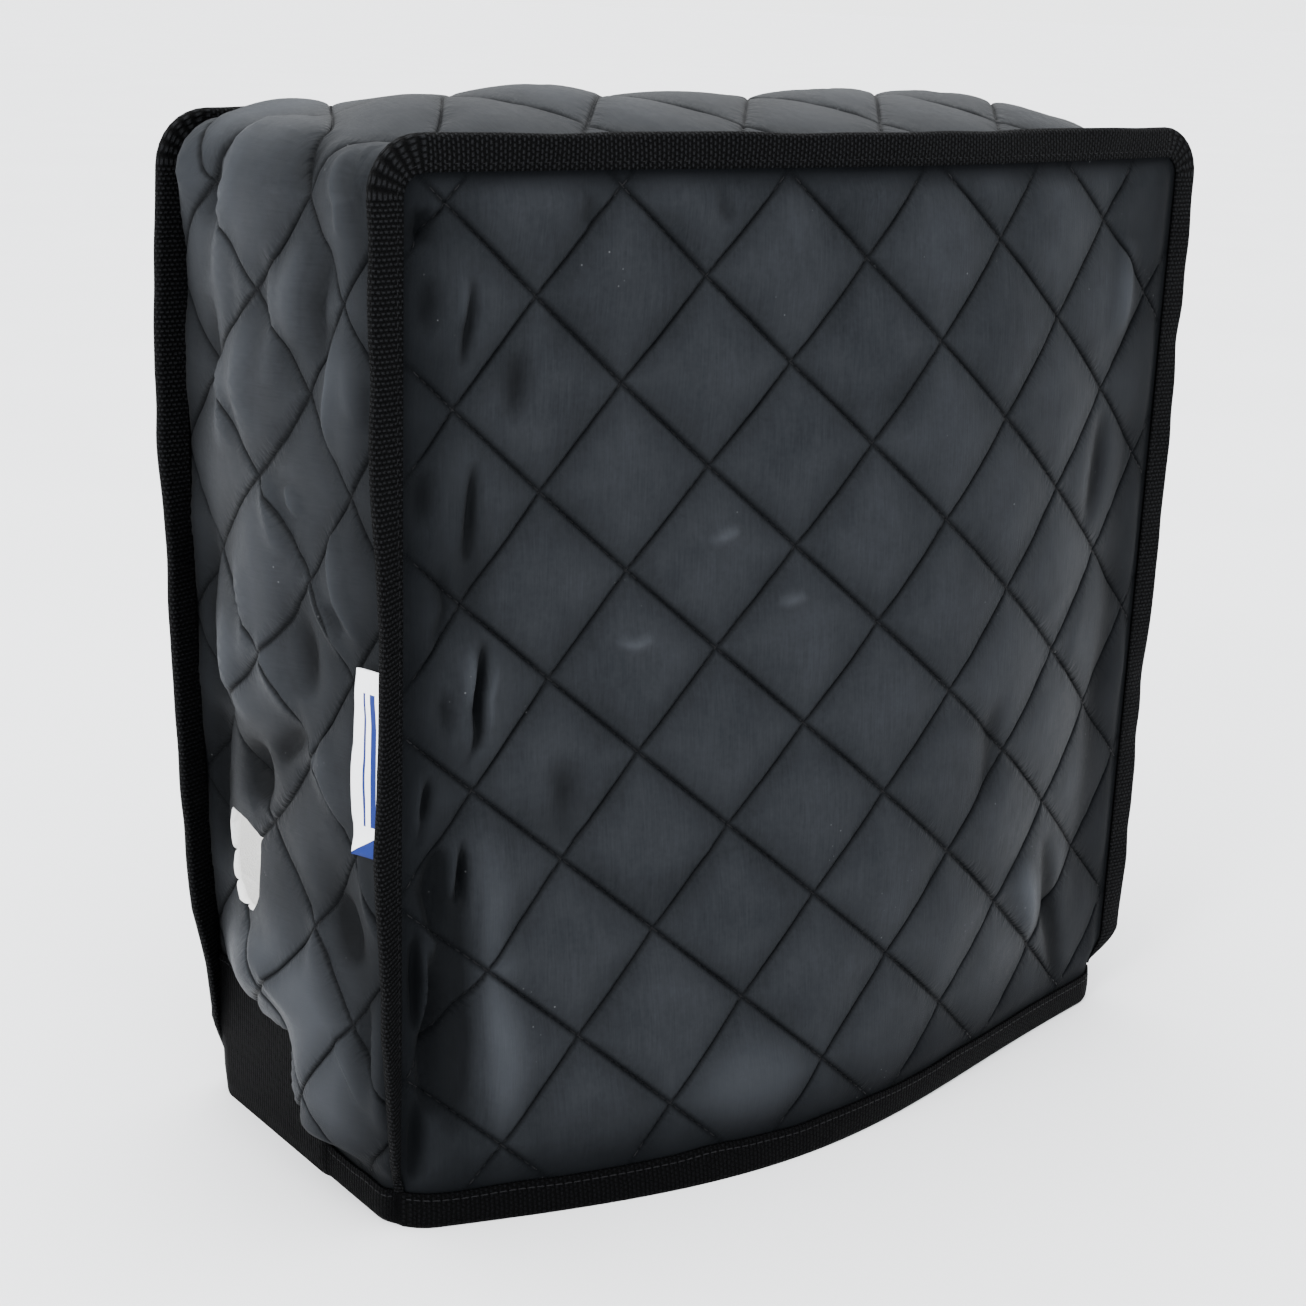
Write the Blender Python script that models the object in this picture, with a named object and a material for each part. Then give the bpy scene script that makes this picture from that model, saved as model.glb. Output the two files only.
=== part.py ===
"""Quilted slip-on cover for a small bedside machine.

Two quilted panels, front and back, are joined by one long gusset that runs up the left
side, over the top and down the right side. The seam allowances stand outward and are
bound with folded tape. A taped hem runs round the open foot. A cloth label is caught in
the front left seam, and a hose hole is cut in the left side.

Every piece is first placed in a straight seam box: x from the left seam to the right,
y from the front seam to the back, z up from the floor. settle() then bows and slumps the
whole cover, so that neighbouring layers keep their gaps. The origin ends up on the floor,
under the middle of the finished cover.
"""
import math

import bmesh
import bpy
from mathutils import Matrix, Vector

# Seam box, in metres
HEIGHT = 0.330
WIDTH = 0.324
DEPTH = 0.1215
SEAM_CORNER = 0.006
CORNER_CUTS = 4

# Cloth, where stitching presses it flat, and the padding's rise between stitch lines
CLOTH = 0.0012
PUFF_OUT = 0.0030
PUFF_IN = 0.0005
PUFF_FULLNESS = 0.55
GAP = 0.0003

# Distance from a seam, and from the hem, over which padding and folds come up
SEAM_CALM = 0.012
HEM_CALM = 0.016

# Square diamonds of quilting: their diagonal, and the mesh cells along one side
DIAMOND = 0.0596
CELLS = 3

# Tape folded over each seam, and the taper where it runs into the hem
TAPE = 0.0009
TAPE_BEVEL = 0.0006
FIN = 0.0119
FOLD_ROOM = 0.0010
TAPE_ROOT = 0.0016
ALLOWANCE = FIN - TAPE - FOLD_ROOM
STUB = 0.0006
TAPE_FOOT = 0.016
TAPER_TOP = 0.057

# Hem tape
HEM = 0.012
HEM_TAPE = 0.0010
HEM_PITCH = 0.016

# Outward lift of the gusset's middle, and how it is shared over the left side, the
# corners and the top, by distance along the strip
CROWN_TOP = 0.017
CROWN_LEFT = 0.007
CROWN_RIGHT = 0.008
CROWN_EASE = 0.055
CROWN_POWER = 1.5

# Hose hole in the left side: its middle, its half sizes, and its outline's corners and
# squareness (an exponent, 1 for an ellipse and 0 for a rectangle)
HOLE_UP = 0.101
HOLE_BACK = 0.083
HOLE_HALF_HIGH = 0.0165
HOLE_HALF_WIDE = 0.0155
HOLE_POINTS = 12
HOLE_POWER = 0.6

# Label: its lowest edge, its height, its reach over the side and its thickness
LABEL_FOOT = 0.123
LABEL_TALL = 0.060
LABEL_REACH = 0.018
LABEL_THICK = 0.0008
LABEL_STAND_OFF = 0.0009
LABEL_CURL = 0.0035
LABEL_CURL_POWER = 1.5

# Front panel's forward bow, as shares of the height. Each row is one arch across the
# width: its part at every level, at the foot and at mid height
FRONT_ARCHES = (
    (0.034, 0.062, 0.000),
    (-0.007, 0.021, -0.033),
    (-0.003, 0.000, -0.004),
)

# Back panel's rearward bow
BACK_BOW = 0.008

# Outward pull of the back left seam, one arch from this share of the height up
BACK_LEFT_PULL = 0.007
PULL_START = 0.15
PULL_ARCH = 1.15

# Lean of the two left fins near the foot, as forward shift for each metre outward, up to
# this height, and how far from its seam it is full and then fades out
FRONT_FIN_LEAN = 0.30
BACK_FIN_LEAN = 0.40
LEAN_TOP = 0.110
LEAN_FULL = 0.003
LEAN_FADE = 0.010

# Soft folds of the gusset: distance up the strip, distance back from the front seam,
# half length, half breadth, rise, and tilt in degrees (above 0 it leans to the front)
GUSSET_FOLDS = (
    (0.054, 0.070, 0.014, 0.022, 0.0080, 0),
    (0.040, 0.034, 0.024, 0.015, 0.0085, 0),
    (0.098, 0.024, 0.024, 0.008, -0.0030, -25),
    (0.074, 0.044, 0.026, 0.009, 0.0026, -50),
    (0.141, 0.068, 0.014, 0.012, -0.0040, 25),
    (0.285, 0.020, 0.045, 0.009, 0.0026, 0),
    (0.290, 0.076, 0.040, 0.013, 0.0026, 12),
    (0.200, 0.064, 0.050, 0.014, 0.0022, 0),
    (0.420, 0.055, 0.030, 0.020, 0.0020, 60),
    (0.560, 0.070, 0.030, 0.018, 0.0018, -50),
    (0.760, 0.060, 0.050, 0.016, 0.0024, 10),
    (0.900, 0.060, 0.030, 0.020, 0.0040, 20),
)

# Soft folds of the front panel: height, distance from the left seam, then as above
# (a tilt above 0 leans to the left)
FRONT_FOLDS = (
    (0.075, 0.017, 0.040, 0.007, -0.0045, 0),
    (0.070, 0.031, 0.045, 0.008, 0.0020, 3),
    (0.215, 0.024, 0.020, 0.007, -0.0016, 0),
    (0.140, 0.299, 0.080, 0.010, -0.0020, -4),
    (0.030, 0.120, 0.014, 0.030, 0.0018, 0),
)

# Where each panel's stitch lines cross, and the turn of the quilting in radians
FRONT_CROSSING = (0.0130, 0.3226)
FRONT_TURN = 0.067
BACK_CROSSING = (0.0250, 0.3100)
BACK_TURN = -0.030
GUSSET_CROSSING = (0.2920, 0.0300)
GUSSET_TURN = 0.010

# Sharpest turn that is still shaded as one smooth face
CREASE_ANGLE = math.radians(50)

# Worked out from the sizes above
PLY = (CLOTH + GAP) / 2
SIDE_RUN = HEIGHT - SEAM_CORNER
CORNER_RUN = SEAM_CORNER * math.pi / 2
TOP_RUN = WIDTH - 2 * SEAM_CORNER
STRIP = 2 * SIDE_RUN + 2 * CORNER_RUN + TOP_RUN
HEM_MARGIN = HEM + GAP
CLOTH_FOOT = HEM_TAPE + GAP
SLOPE_ROWS = (HEM_MARGIN, TAPER_TOP, LEAN_TOP)


def clamp(value):
    return max(0.0, min(1.0, value))


def ease(value):
    """Smooth step from 0 to 1."""
    share = clamp(value)
    return share * share * (3 - 2 * share)


def fold_lift(folds, up, across):
    """Summed rise of the soft folds at one point of a piece."""
    total = 0.0
    for fold_up, fold_across, half_long, half_wide, rise, tilt in folds:
        angle = math.radians(tilt)
        rise_up = up - fold_up
        shift = across - fold_across
        lengthwise = (rise_up * math.cos(angle) - shift * math.sin(angle)) / half_long
        crosswise = (shift * math.cos(angle) + rise_up * math.sin(angle)) / half_wide
        total += rise * math.exp(-lengthwise ** 2 - crosswise ** 2)
    return total


def front_bow(across, up):
    """Forward bow of the front panel, for shares of the width and the height."""
    low = 1 - up
    middle = 4 * up * (1 - up)
    total = 0.0
    for arch, (always, at_foot, at_middle) in enumerate(FRONT_ARCHES, start=1):
        share = always + at_foot * low + at_middle * middle
        total += share * math.sin(arch * math.pi * across)
    return HEIGHT * total


def settle(point):
    """Bow and slump a point of the straight seam box."""
    x, y, z = point
    across = clamp(x / WIDTH)
    up = clamp(z / HEIGHT)
    back = clamp(y / DEPTH)

    # The left fins lean forward near the foot
    outward = max(0.0, -x)
    low = clamp((LEAN_TOP - z) / (LEAN_TOP - HEM_MARGIN))
    near_front = 1 - ease((y - LEAN_FULL) / LEAN_FADE)
    near_back = 1 - ease((DEPTH - y - LEAN_FULL) / LEAN_FADE)
    lean = FRONT_FIN_LEAN * near_front + BACK_FIN_LEAN * near_back

    # The panels bow out, and the back left seam is pulled outward
    arch = math.sin(math.pi * clamp((up - PULL_START) / PULL_ARCH))
    new_x = x - BACK_LEFT_PULL * arch * ease(back) * (1 - ease(2 * across))
    new_y = y - outward * low * lean - front_bow(across, up) * (1 - back)
    new_y += BACK_BOW * math.sin(math.pi * across) * back
    return Vector((new_x, new_y, z))


def seam_place(along):
    """Point of the seam line and its outward direction, both in x and z.

    The line starts at the foot of the left side and ends at the foot of the right.
    """
    if along <= SIDE_RUN:
        return (0.0, along), (-1.0, 0.0)
    along -= SIDE_RUN
    if along <= CORNER_RUN:
        angle = along / SEAM_CORNER
        cos, sin = math.cos(angle), math.sin(angle)
        return (SEAM_CORNER * (1 - cos), SIDE_RUN + SEAM_CORNER * sin), (-cos, sin)
    along -= CORNER_RUN
    if along <= TOP_RUN:
        return (SEAM_CORNER + along, HEIGHT), (0.0, 1.0)
    along -= TOP_RUN
    if along <= CORNER_RUN:
        angle = along / SEAM_CORNER
        cos, sin = math.cos(angle), math.sin(angle)
        centre = WIDTH - SEAM_CORNER
        return (centre + SEAM_CORNER * sin, SIDE_RUN + SEAM_CORNER * cos), (sin, cos)
    along -= CORNER_RUN
    return (WIDTH, SIDE_RUN - along), (1.0, 0.0)


def seam_outward(x, z):
    """Outward direction at a point on the rim of a panel."""
    centre_x = min(max(x, SEAM_CORNER), WIDTH - SEAM_CORNER)
    away = Vector((x - centre_x, max(0.0, z - SIDE_RUN)))
    if away.length < 1e-9:
        return Vector((0.0, 1.0))
    return away.normalized()


def seam_distance(x, z):
    """Distance of a point of a panel from its side and top seams."""
    from_side = min(x, WIDTH - x)
    into_corner = math.hypot(max(0.0, SEAM_CORNER - from_side), max(0.0, z - SIDE_RUN))
    return min(from_side, HEIGHT - z, SEAM_CORNER - into_corner) if z > SIDE_RUN else from_side


def allowance(height):
    """Width of the seam allowance at a height above the floor."""
    share = clamp((height - HEM_MARGIN) / (TAPER_TOP - HEM_MARGIN))
    return STUB + (ALLOWANCE - STUB) * share


def strip_height(along):
    """Distance of a point on the strip from its nearer end, at the floor."""
    return min(along, STRIP - along)


def pillow(up, across, crossing, turn):
    """Padding's rise, 0 on the stitch lines and 1 in the middle of a diamond."""
    side = DIAMOND / math.sqrt(2)
    angle = math.pi / 4 + turn
    run = up - crossing[1]
    shift = across - crossing[0]
    first = (shift * math.cos(angle) + run * math.sin(angle)) / side
    second = (run * math.cos(angle) - shift * math.sin(angle)) / side
    first -= math.floor(first)
    second -= math.floor(second)
    return (16 * first * (1 - first) * second * (1 - second)) ** PUFF_FULLNESS


def arc_gain(x, z):
    """How much longer the bowed front panel is than its straight width, up to x."""
    steps = 12
    gain = 0.0
    for step in range(steps):
        left = x * step / steps
        right = x * (step + 1) / steps
        rise = front_bow(right / WIDTH, z / HEIGHT) - front_bow(left / WIDTH, z / HEIGHT)
        gain += math.hypot(right - left, rise) - (right - left)
    return gain


def stitched_grid(long, wide, crossing, turn):
    """Flat grid whose lines follow the quilting, and which covers a piece of this size."""
    side = DIAMOND / math.sqrt(2)
    diamonds = math.ceil(0.75 * (long + wide) / side)
    cells = 2 * CELLS * diamonds
    grid = bmesh.new()
    place = Matrix.Translation((*crossing, 0)) @ Matrix.Rotation(math.pi / 4 + turn, 4, "Z")
    bmesh.ops.create_grid(
        grid, x_segments=cells, y_segments=cells, size=diamonds * side, matrix=place
    )
    return grid


def slice_sheet(sheet, point, normal, trim=False, faces=None):
    """Cut a flat sheet along a line, and with trim remove what lies past it."""
    chosen = sheet.faces[:] if faces is None else faces
    edges = {edge for face in chosen for edge in face.edges}
    verts = {vert for face in chosen for vert in face.verts}
    bmesh.ops.bisect_plane(
        sheet,
        geom=list(verts) + list(edges) + list(chosen),
        dist=0.00002,
        plane_co=(*point, 0),
        plane_no=(*normal, 0),
        clear_outer=trim,
    )


def bind_rim(sheet, is_hem):
    """Add the seam allowance: a strip whose z of 1 marks its outer edge."""
    rim = []
    for edge in sheet.edges:
        if edge.is_boundary and not is_hem(edge):
            rim.append(edge)
    new = bmesh.ops.extrude_edge_only(sheet, edges=rim)["geom"]
    for vert in new:
        if isinstance(vert, bmesh.types.BMVert):
            vert.co.z = 1.0


def cloth_object(name, sheet, skins, material):
    """Closed solid between the outer and inner points that skins() gives."""
    bmesh.ops.triangulate(sheet, faces=sheet.faces[:])
    solid = bmesh.new()
    pairs = {}
    for vert in sheet.verts:
        outer, inner = skins(*vert.co)
        pairs[vert] = (solid.verts.new(settle(outer)), solid.verts.new(settle(inner)))
    for face in sheet.faces:
        solid.faces.new([pairs[vert][0] for vert in face.verts])
        solid.faces.new([pairs[vert][1] for vert in reversed(face.verts)])
    for edge in sheet.edges:
        if edge.is_boundary:
            first, second = (pairs[vert] for vert in edge.verts)
            solid.faces.new((first[0], second[0], second[1], first[1]))
    sheet.free()
    return finish_object(name, solid, material)


def swept_object(name, loops, material, closed):
    """Closed solid through a row of section loops."""
    solid = bmesh.new()
    rings = [[solid.verts.new(settle(point)) for point in loop] for loop in loops]
    count = len(rings[0])
    spans = len(rings) if closed else len(rings) - 1
    for index in range(spans):
        ring, following = rings[index], rings[(index + 1) % len(rings)]
        for corner in range(count):
            beyond = (corner + 1) % count
            solid.faces.new((ring[corner], ring[beyond], following[beyond], following[corner]))
    if not closed:
        solid.faces.new(rings[0][::-1])
        solid.faces.new(rings[-1])
    return finish_object(name, solid, material)


def finish_object(name, solid, material):
    bmesh.ops.recalc_face_normals(solid, faces=solid.faces[:])
    bmesh.ops.triangulate(solid, faces=solid.faces[:])
    mesh = bpy.data.meshes.new(name)
    solid.to_mesh(mesh)
    solid.free()
    mesh.shade_smooth()
    mesh.set_sharp_from_angle(angle=CREASE_ANGLE)
    mesh.materials.append(material)
    piece = bpy.data.objects.new(name, mesh)
    bpy.context.scene.collection.objects.link(piece)
    return piece


def plain_material(name, colour, roughness):
    material = bpy.data.materials.new(name)
    material.use_nodes = True
    shader = material.node_tree.nodes["Principled BSDF"]
    shader.inputs["Base Color"].default_value = (*colour, 1.0)
    shader.inputs["Roughness"].default_value = roughness
    shader.inputs["Metallic"].default_value = 0.0
    return material


def panel_flat(crossing, turn, bowed):
    """Flat panel in x and height, cut to the seam line, with its allowance."""
    sheet = stitched_grid(HEIGHT, WIDTH, crossing, turn)
    if bowed:
        for vert in sheet.verts:
            run = vert.co.x
            height = min(max(vert.co.y, 0.0), HEIGHT)
            for _ in range(3):
                inside = min(max(vert.co.x, 0.0), WIDTH)
                vert.co.x = run - arc_gain(inside, height)
    slice_sheet(sheet, (0, CLOTH_FOOT), (0, -1), trim=True)
    slice_sheet(sheet, (0, 0), (-1, 0), trim=True)
    slice_sheet(sheet, (WIDTH, 0), (1, 0), trim=True)
    slice_sheet(sheet, (0, HEIGHT), (0, 1), trim=True)

    # Round the two top corners with short straight cuts
    flat = SEAM_CORNER * math.cos(math.pi / 4 / CORNER_CUTS)
    for cut in range(CORNER_CUTS):
        angle = math.pi / 2 * (cut + 0.5) / CORNER_CUTS
        for centre, way in ((SEAM_CORNER, -1), (WIDTH - SEAM_CORNER, 1)):
            normal = (way * math.cos(angle), math.sin(angle))
            point = (centre + flat * normal[0], SIDE_RUN + flat * normal[1])
            slice_sheet(sheet, point, normal, trim=True)

    # Rows where the seam's slopes change
    for row in SLOPE_ROWS:
        slice_sheet(sheet, (0, row), (0, 1))
    bind_rim(sheet, lambda edge: all(vert.co.y < CLOTH_FOOT + 1e-6 for vert in edge.verts))
    return sheet


def panel_skins(seam_y, way, crossing, turn, folds, bowed):
    """Skin function of a panel: way is -1 for the front, which faces -y, 1 for the back."""

    def skins(x, z, rim):
        if rim:
            out = seam_outward(x, z) * allowance(z)
            x, z = x + out.x, z + out.y
        run = x + arc_gain(x, z) if bowed and not rim else x
        calm = ease(seam_distance(x, z) / SEAM_CALM) * ease((z - HEM_MARGIN) / HEM_CALM)
        rise = pillow(z, run, crossing, turn) * calm
        fold = fold_lift(folds, z, x) * calm
        middle = seam_y + way * PLY
        outer = middle + way * (CLOTH / 2 + PUFF_OUT * rise + fold)
        inner = middle - way * (CLOTH / 2 + PUFF_IN * rise - fold)
        return (x, outer, z), (x, inner, z)

    return skins


def crown(along, back):
    """Outward lift of the gusset's middle line at a point of the strip."""
    left = 1 - ease((along - SIDE_RUN) / CROWN_EASE)
    right = 1 - ease((STRIP - along - SIDE_RUN) / CROWN_EASE)
    height = CROWN_LEFT * left + CROWN_RIGHT * right + CROWN_TOP * (1 - left - right)
    return height * math.sin(math.pi * clamp(back / DEPTH)) ** CROWN_POWER


def gusset_lift(along, back):
    """Crown and folds of the gusset, and its padding's rise, at a point of the strip."""
    calm = ease(min(back, DEPTH - back) / SEAM_CALM)
    calm *= ease((strip_height(along) - HEM_MARGIN) / HEM_CALM)
    rise = pillow(back, along, GUSSET_CROSSING, GUSSET_TURN) * calm
    lift = (crown(along, back) + fold_lift(GUSSET_FOLDS, along, back)) * calm
    return lift, rise


def gusset_skins(along, back, rim):
    """Outer and inner point of the gusset. The strip's ends stand in the hem."""
    (x, z), (out_x, out_z) = seam_place(along)
    at_front = back < PLY + 1e-6
    at_back = back > DEPTH - PLY - 1e-6

    # At a seam the cloth turns outward, so that it lies beside the panel's allowance
    if at_front or at_back:
        half = CLOTH / 2 if at_front else -CLOTH / 2
        reach = allowance(strip_height(along))
        outer = reach if rim else CLOTH / 2
        inner = reach if rim else -CLOTH / 2
        return (
            (x + out_x * outer, back + half, z + out_z * outer),
            (x + out_x * inner, back - half, z + out_z * inner),
        )
    lift, rise = gusset_lift(along, back)
    outer = lift + CLOTH / 2 + PUFF_OUT * rise
    inner = lift - CLOTH / 2 - PUFF_IN * rise
    return (
        (x + out_x * outer, back, z + out_z * outer),
        (x + out_x * inner, back, z + out_z * inner),
    )


def hole_outline():
    """Worn round rectangle of the hose hole, as points along and across the strip."""
    points = []
    for index in range(HOLE_POINTS):
        angle = 2 * math.pi * (index + 0.5) / HOLE_POINTS
        cos, sin = math.cos(angle), math.sin(angle)
        up = HOLE_UP + HOLE_HALF_HIGH * math.copysign(abs(sin) ** HOLE_POWER, sin)
        back = HOLE_BACK + HOLE_HALF_WIDE * math.copysign(abs(cos) ** HOLE_POWER, cos)
        points.append(Vector((up, back)))
    return points


def cut_hole(sheet):
    """Cut the hose hole out of the flat strip."""
    outline = hole_outline()
    centre = Vector((HOLE_UP, HOLE_BACK))
    reach = 1.05 * max((point - centre).length for point in outline)
    for index, point in enumerate(outline):
        along_edge = outline[(index + 1) % len(outline)] - point
        near = []
        for face in sheet.faces:
            if any((vert.co.xy - centre).length < reach for vert in face.verts):
                near.append(face)
        slice_sheet(sheet, point, (along_edge.y, -along_edge.x), faces=near)
    inside = []
    for face in sheet.faces:
        spot = face.calc_center_median().xy
        turns = []
        for index, point in enumerate(outline):
            along_edge = outline[(index + 1) % len(outline)] - point
            to_spot = spot - point
            turns.append(along_edge.x * to_spot.y - along_edge.y * to_spot.x)
        if all(turn < 0 for turn in turns) or all(turn > 0 for turn in turns):
            inside.append(face)
    bmesh.ops.delete(sheet, geom=inside, context="FACES")


def gusset_flat():
    """Flat gusset strip: x runs along it, y from the front seam to the back."""
    low, high = PLY, DEPTH - PLY
    sheet = stitched_grid(STRIP, DEPTH, GUSSET_CROSSING, GUSSET_TURN)
    slice_sheet(sheet, (CLOTH_FOOT, 0), (-1, 0), trim=True)
    slice_sheet(sheet, (STRIP - CLOTH_FOOT, 0), (1, 0), trim=True)
    slice_sheet(sheet, (0, low), (0, -1), trim=True)
    slice_sheet(sheet, (0, high), (0, 1), trim=True)

    # Rows where the seam's slopes change, and round the two top corners
    rows = list(SLOPE_ROWS)
    rows += [SIDE_RUN + CORNER_RUN * cut / CORNER_CUTS for cut in range(CORNER_CUTS + 1)]
    for row in rows:
        slice_sheet(sheet, (row, 0), (1, 0))
        slice_sheet(sheet, (STRIP - row, 0), (1, 0))
    cut_hole(sheet)

    def skip(edge):
        middle = (edge.verts[0].co.y + edge.verts[1].co.y) / 2
        return low + 1e-6 < middle < high - 1e-6

    bind_rim(sheet, skip)
    return sheet


def strip_stops():
    """Places along the seam line where a binding has a section."""
    stops = [TAPE_FOOT]
    foot_spans, low_spans, side_spans, top_spans = 4, 4, 13, 19
    for span in range(1, foot_spans + 1):
        stops.append(TAPE_FOOT + (TAPER_TOP - TAPE_FOOT) * span / foot_spans)
    for span in range(1, low_spans + 1):
        stops.append(TAPER_TOP + (LEAN_TOP - TAPER_TOP) * span / low_spans)
    for span in range(1, side_spans + 1):
        stops.append(LEAN_TOP + (SIDE_RUN - LEAN_TOP) * span / side_spans)
    for span in range(1, CORNER_CUTS + 1):
        stops.append(SIDE_RUN + CORNER_RUN * span / CORNER_CUTS)
    for span in range(1, top_spans):
        stops.append(SIDE_RUN + CORNER_RUN + TOP_RUN * span / top_spans)
    left_count = len(stops) - (top_spans - 1)
    stops += [STRIP - stop for stop in reversed(stops[:left_count])]
    return stops


def binding_loops(seam_y):
    """Sections of the tape folded over one seam."""
    half = CLOTH + GAP / 2 + GAP + TAPE
    inside = half - TAPE
    loops = []
    for along in strip_stops():
        reach = allowance(strip_height(along)) + FOLD_ROOM
        edge = reach + TAPE
        section = (
            (TAPE_ROOT, -half),
            (edge - TAPE_BEVEL, -half),
            (edge, -half + TAPE_BEVEL),
            (edge, half - TAPE_BEVEL),
            (edge - TAPE_BEVEL, half),
            (TAPE_ROOT, half),
            (TAPE_ROOT, inside),
            (reach, inside),
            (reach, -inside),
            (TAPE_ROOT, -inside),
        )
        (x, z), (out_x, out_z) = seam_place(along)
        loops.append([(x + out_x * out, seam_y + deep, z + out_z * out) for out, deep in section])
    return loops


def spread(start, end):
    """Even stops between two corners of the hem, without the corners."""
    spans = math.ceil(abs(end - start) / HEM_PITCH)
    return [start + (end - start) * span / spans for span in range(1, spans)]


def hem_loops():
    """Sections of the hem tape round the foot, each open at the top."""
    front, back = -PLY, DEPTH + PLY
    walk = [(0.0, front, -1, -1)]
    walk += [(x, front, 0, -1) for x in spread(0.0, WIDTH)]
    walk += [(WIDTH, front, 1, -1)]
    walk += [(WIDTH, y, 1, 0) for y in spread(front, back)]
    walk += [(WIDTH, back, 1, 1)]
    walk += [(x, back, 0, 1) for x in spread(WIDTH, 0.0)]
    walk += [(0.0, back, -1, 1)]
    walk += [(0.0, y, -1, 0) for y in spread(back, front)]
    room = CLOTH / 2 + GAP
    wall = room + HEM_TAPE
    section = (
        (wall, 0.0),
        (wall, HEM),
        (room, HEM),
        (room, HEM_TAPE),
        (-room, HEM_TAPE),
        (-room, HEM),
        (-wall, HEM),
        (-wall, 0.0),
    )
    loops = []
    for x, y, way_x, way_y in walk:
        loops.append([(x + way_x * out, y + way_y * out, z) for out, z in section])
    return loops


def label_flat():
    """Flat label: x runs up the seam, y over the side."""
    sheet = bmesh.new()
    bmesh.ops.create_grid(sheet, x_segments=6, y_segments=4, size=0.5)
    start = CLOTH + TAPE + 3 * GAP
    for vert in sheet.verts:
        vert.co.x = LABEL_FOOT + LABEL_TALL * (vert.co.x + 0.5)
        vert.co.y = start + LABEL_REACH * (vert.co.y + 0.5)
    return sheet


def label_skins(up, back, _):
    """Outer and inner point of the label, which lies just off the left side."""
    lift, rise = gusset_lift(up, back)
    curl = LABEL_CURL * (back / LABEL_REACH) ** LABEL_CURL_POWER
    level = lift + CLOTH / 2 + PUFF_OUT * rise + LABEL_STAND_OFF + curl
    return (-level - LABEL_THICK, back, up), (-level, back, up)


def centre_on_origin(pieces):
    """Move the meshes so that the origin is under the middle of the cover's box."""
    corners = [vert.co for piece in pieces for vert in piece.data.vertices]
    middle = Vector((0.0, 0.0, 0.0))
    for axis in (0, 1):
        middle[axis] = (min(c[axis] for c in corners) + max(c[axis] for c in corners)) / 2
    for piece in pieces:
        piece.data.transform(Matrix.Translation(-middle))


def build():
    for old in list(bpy.data.objects):
        bpy.data.objects.remove(old, do_unlink=True)

    front_cloth = plain_material("front quilted cloth", (0.030, 0.032, 0.036), 0.55)
    back_cloth = plain_material("back quilted cloth", (0.030, 0.032, 0.036), 0.55)
    gusset_cloth = plain_material("gusset quilted cloth", (0.034, 0.036, 0.040), 0.55)
    front_tape = plain_material("front ribbed tape", (0.012, 0.012, 0.014), 0.8)
    back_tape = plain_material("back ribbed tape", (0.012, 0.012, 0.014), 0.8)
    hem_tape = plain_material("hem ribbed tape", (0.010, 0.010, 0.012), 0.85)
    label_cloth = plain_material("label satin", (0.85, 0.86, 0.88), 0.5)

    front = cloth_object(
        "front_panel",
        panel_flat(FRONT_CROSSING, FRONT_TURN, bowed=True),
        panel_skins(0.0, -1, FRONT_CROSSING, FRONT_TURN, FRONT_FOLDS, bowed=True),
        front_cloth,
    )
    back = cloth_object(
        "back_panel",
        panel_flat(BACK_CROSSING, BACK_TURN, bowed=False),
        panel_skins(DEPTH, 1, BACK_CROSSING, BACK_TURN, (), bowed=False),
        back_cloth,
    )
    gusset = cloth_object("gusset", gusset_flat(), gusset_skins, gusset_cloth)
    front_binding = swept_object("front_binding", binding_loops(0.0), front_tape, closed=False)
    back_binding = swept_object("back_binding", binding_loops(DEPTH), back_tape, closed=False)
    hem = swept_object("hem_binding", hem_loops(), hem_tape, closed=True)
    label = cloth_object("side_label", label_flat(), label_skins, label_cloth)
    centre_on_origin([front, back, gusset, front_binding, back_binding, hem, label])


build()
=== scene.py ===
"""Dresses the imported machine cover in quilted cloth, ribbed tape, thread and a label."""
import math

import bmesh
import bpy
import numpy as np
from mathutils import Matrix, Vector


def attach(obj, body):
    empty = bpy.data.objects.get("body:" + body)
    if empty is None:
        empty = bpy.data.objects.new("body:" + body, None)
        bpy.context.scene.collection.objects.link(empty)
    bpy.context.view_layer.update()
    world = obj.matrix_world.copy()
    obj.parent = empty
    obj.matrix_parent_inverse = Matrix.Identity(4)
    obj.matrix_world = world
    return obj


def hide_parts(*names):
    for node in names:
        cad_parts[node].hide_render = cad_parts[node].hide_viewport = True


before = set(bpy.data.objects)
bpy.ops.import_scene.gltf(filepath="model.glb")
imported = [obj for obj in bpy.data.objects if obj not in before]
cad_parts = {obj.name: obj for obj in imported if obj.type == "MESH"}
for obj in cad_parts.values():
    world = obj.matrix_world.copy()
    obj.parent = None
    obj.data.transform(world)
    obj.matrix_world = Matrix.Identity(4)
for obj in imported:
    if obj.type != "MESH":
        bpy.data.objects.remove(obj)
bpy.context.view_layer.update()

# Seam box of the pattern, as in the part's source, and where its corner stands
HEIGHT = 0.330
WIDTH = 0.324
DEPTH = 0.1215
SEAM_CORNER = 0.006
SEAM_ORIGIN = np.array([-0.15997, -0.04859, 0.0])
CLOTH = 0.0012
GAP = 0.0003
PLY = (CLOTH + GAP) / 2
SIDE_RUN = HEIGHT - SEAM_CORNER
CORNER_RUN = SEAM_CORNER * math.pi / 2
TOP_RUN = WIDTH - 2 * SEAM_CORNER
STRIP = 2 * SIDE_RUN + 2 * CORNER_RUN + TOP_RUN

# Seam allowance inside the tape, and the taper where it runs into the hem
ALLOWANCE = 0.0100
STUB = 0.0006
TAPER_LEFT = 0.072
TAPER_RIGHT = 0.027
HEM = 0.012
HEM_MARGIN = HEM + GAP
HEM_TAPE = 0.0010
CLOTH_FOOT = HEM_TAPE + GAP

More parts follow.
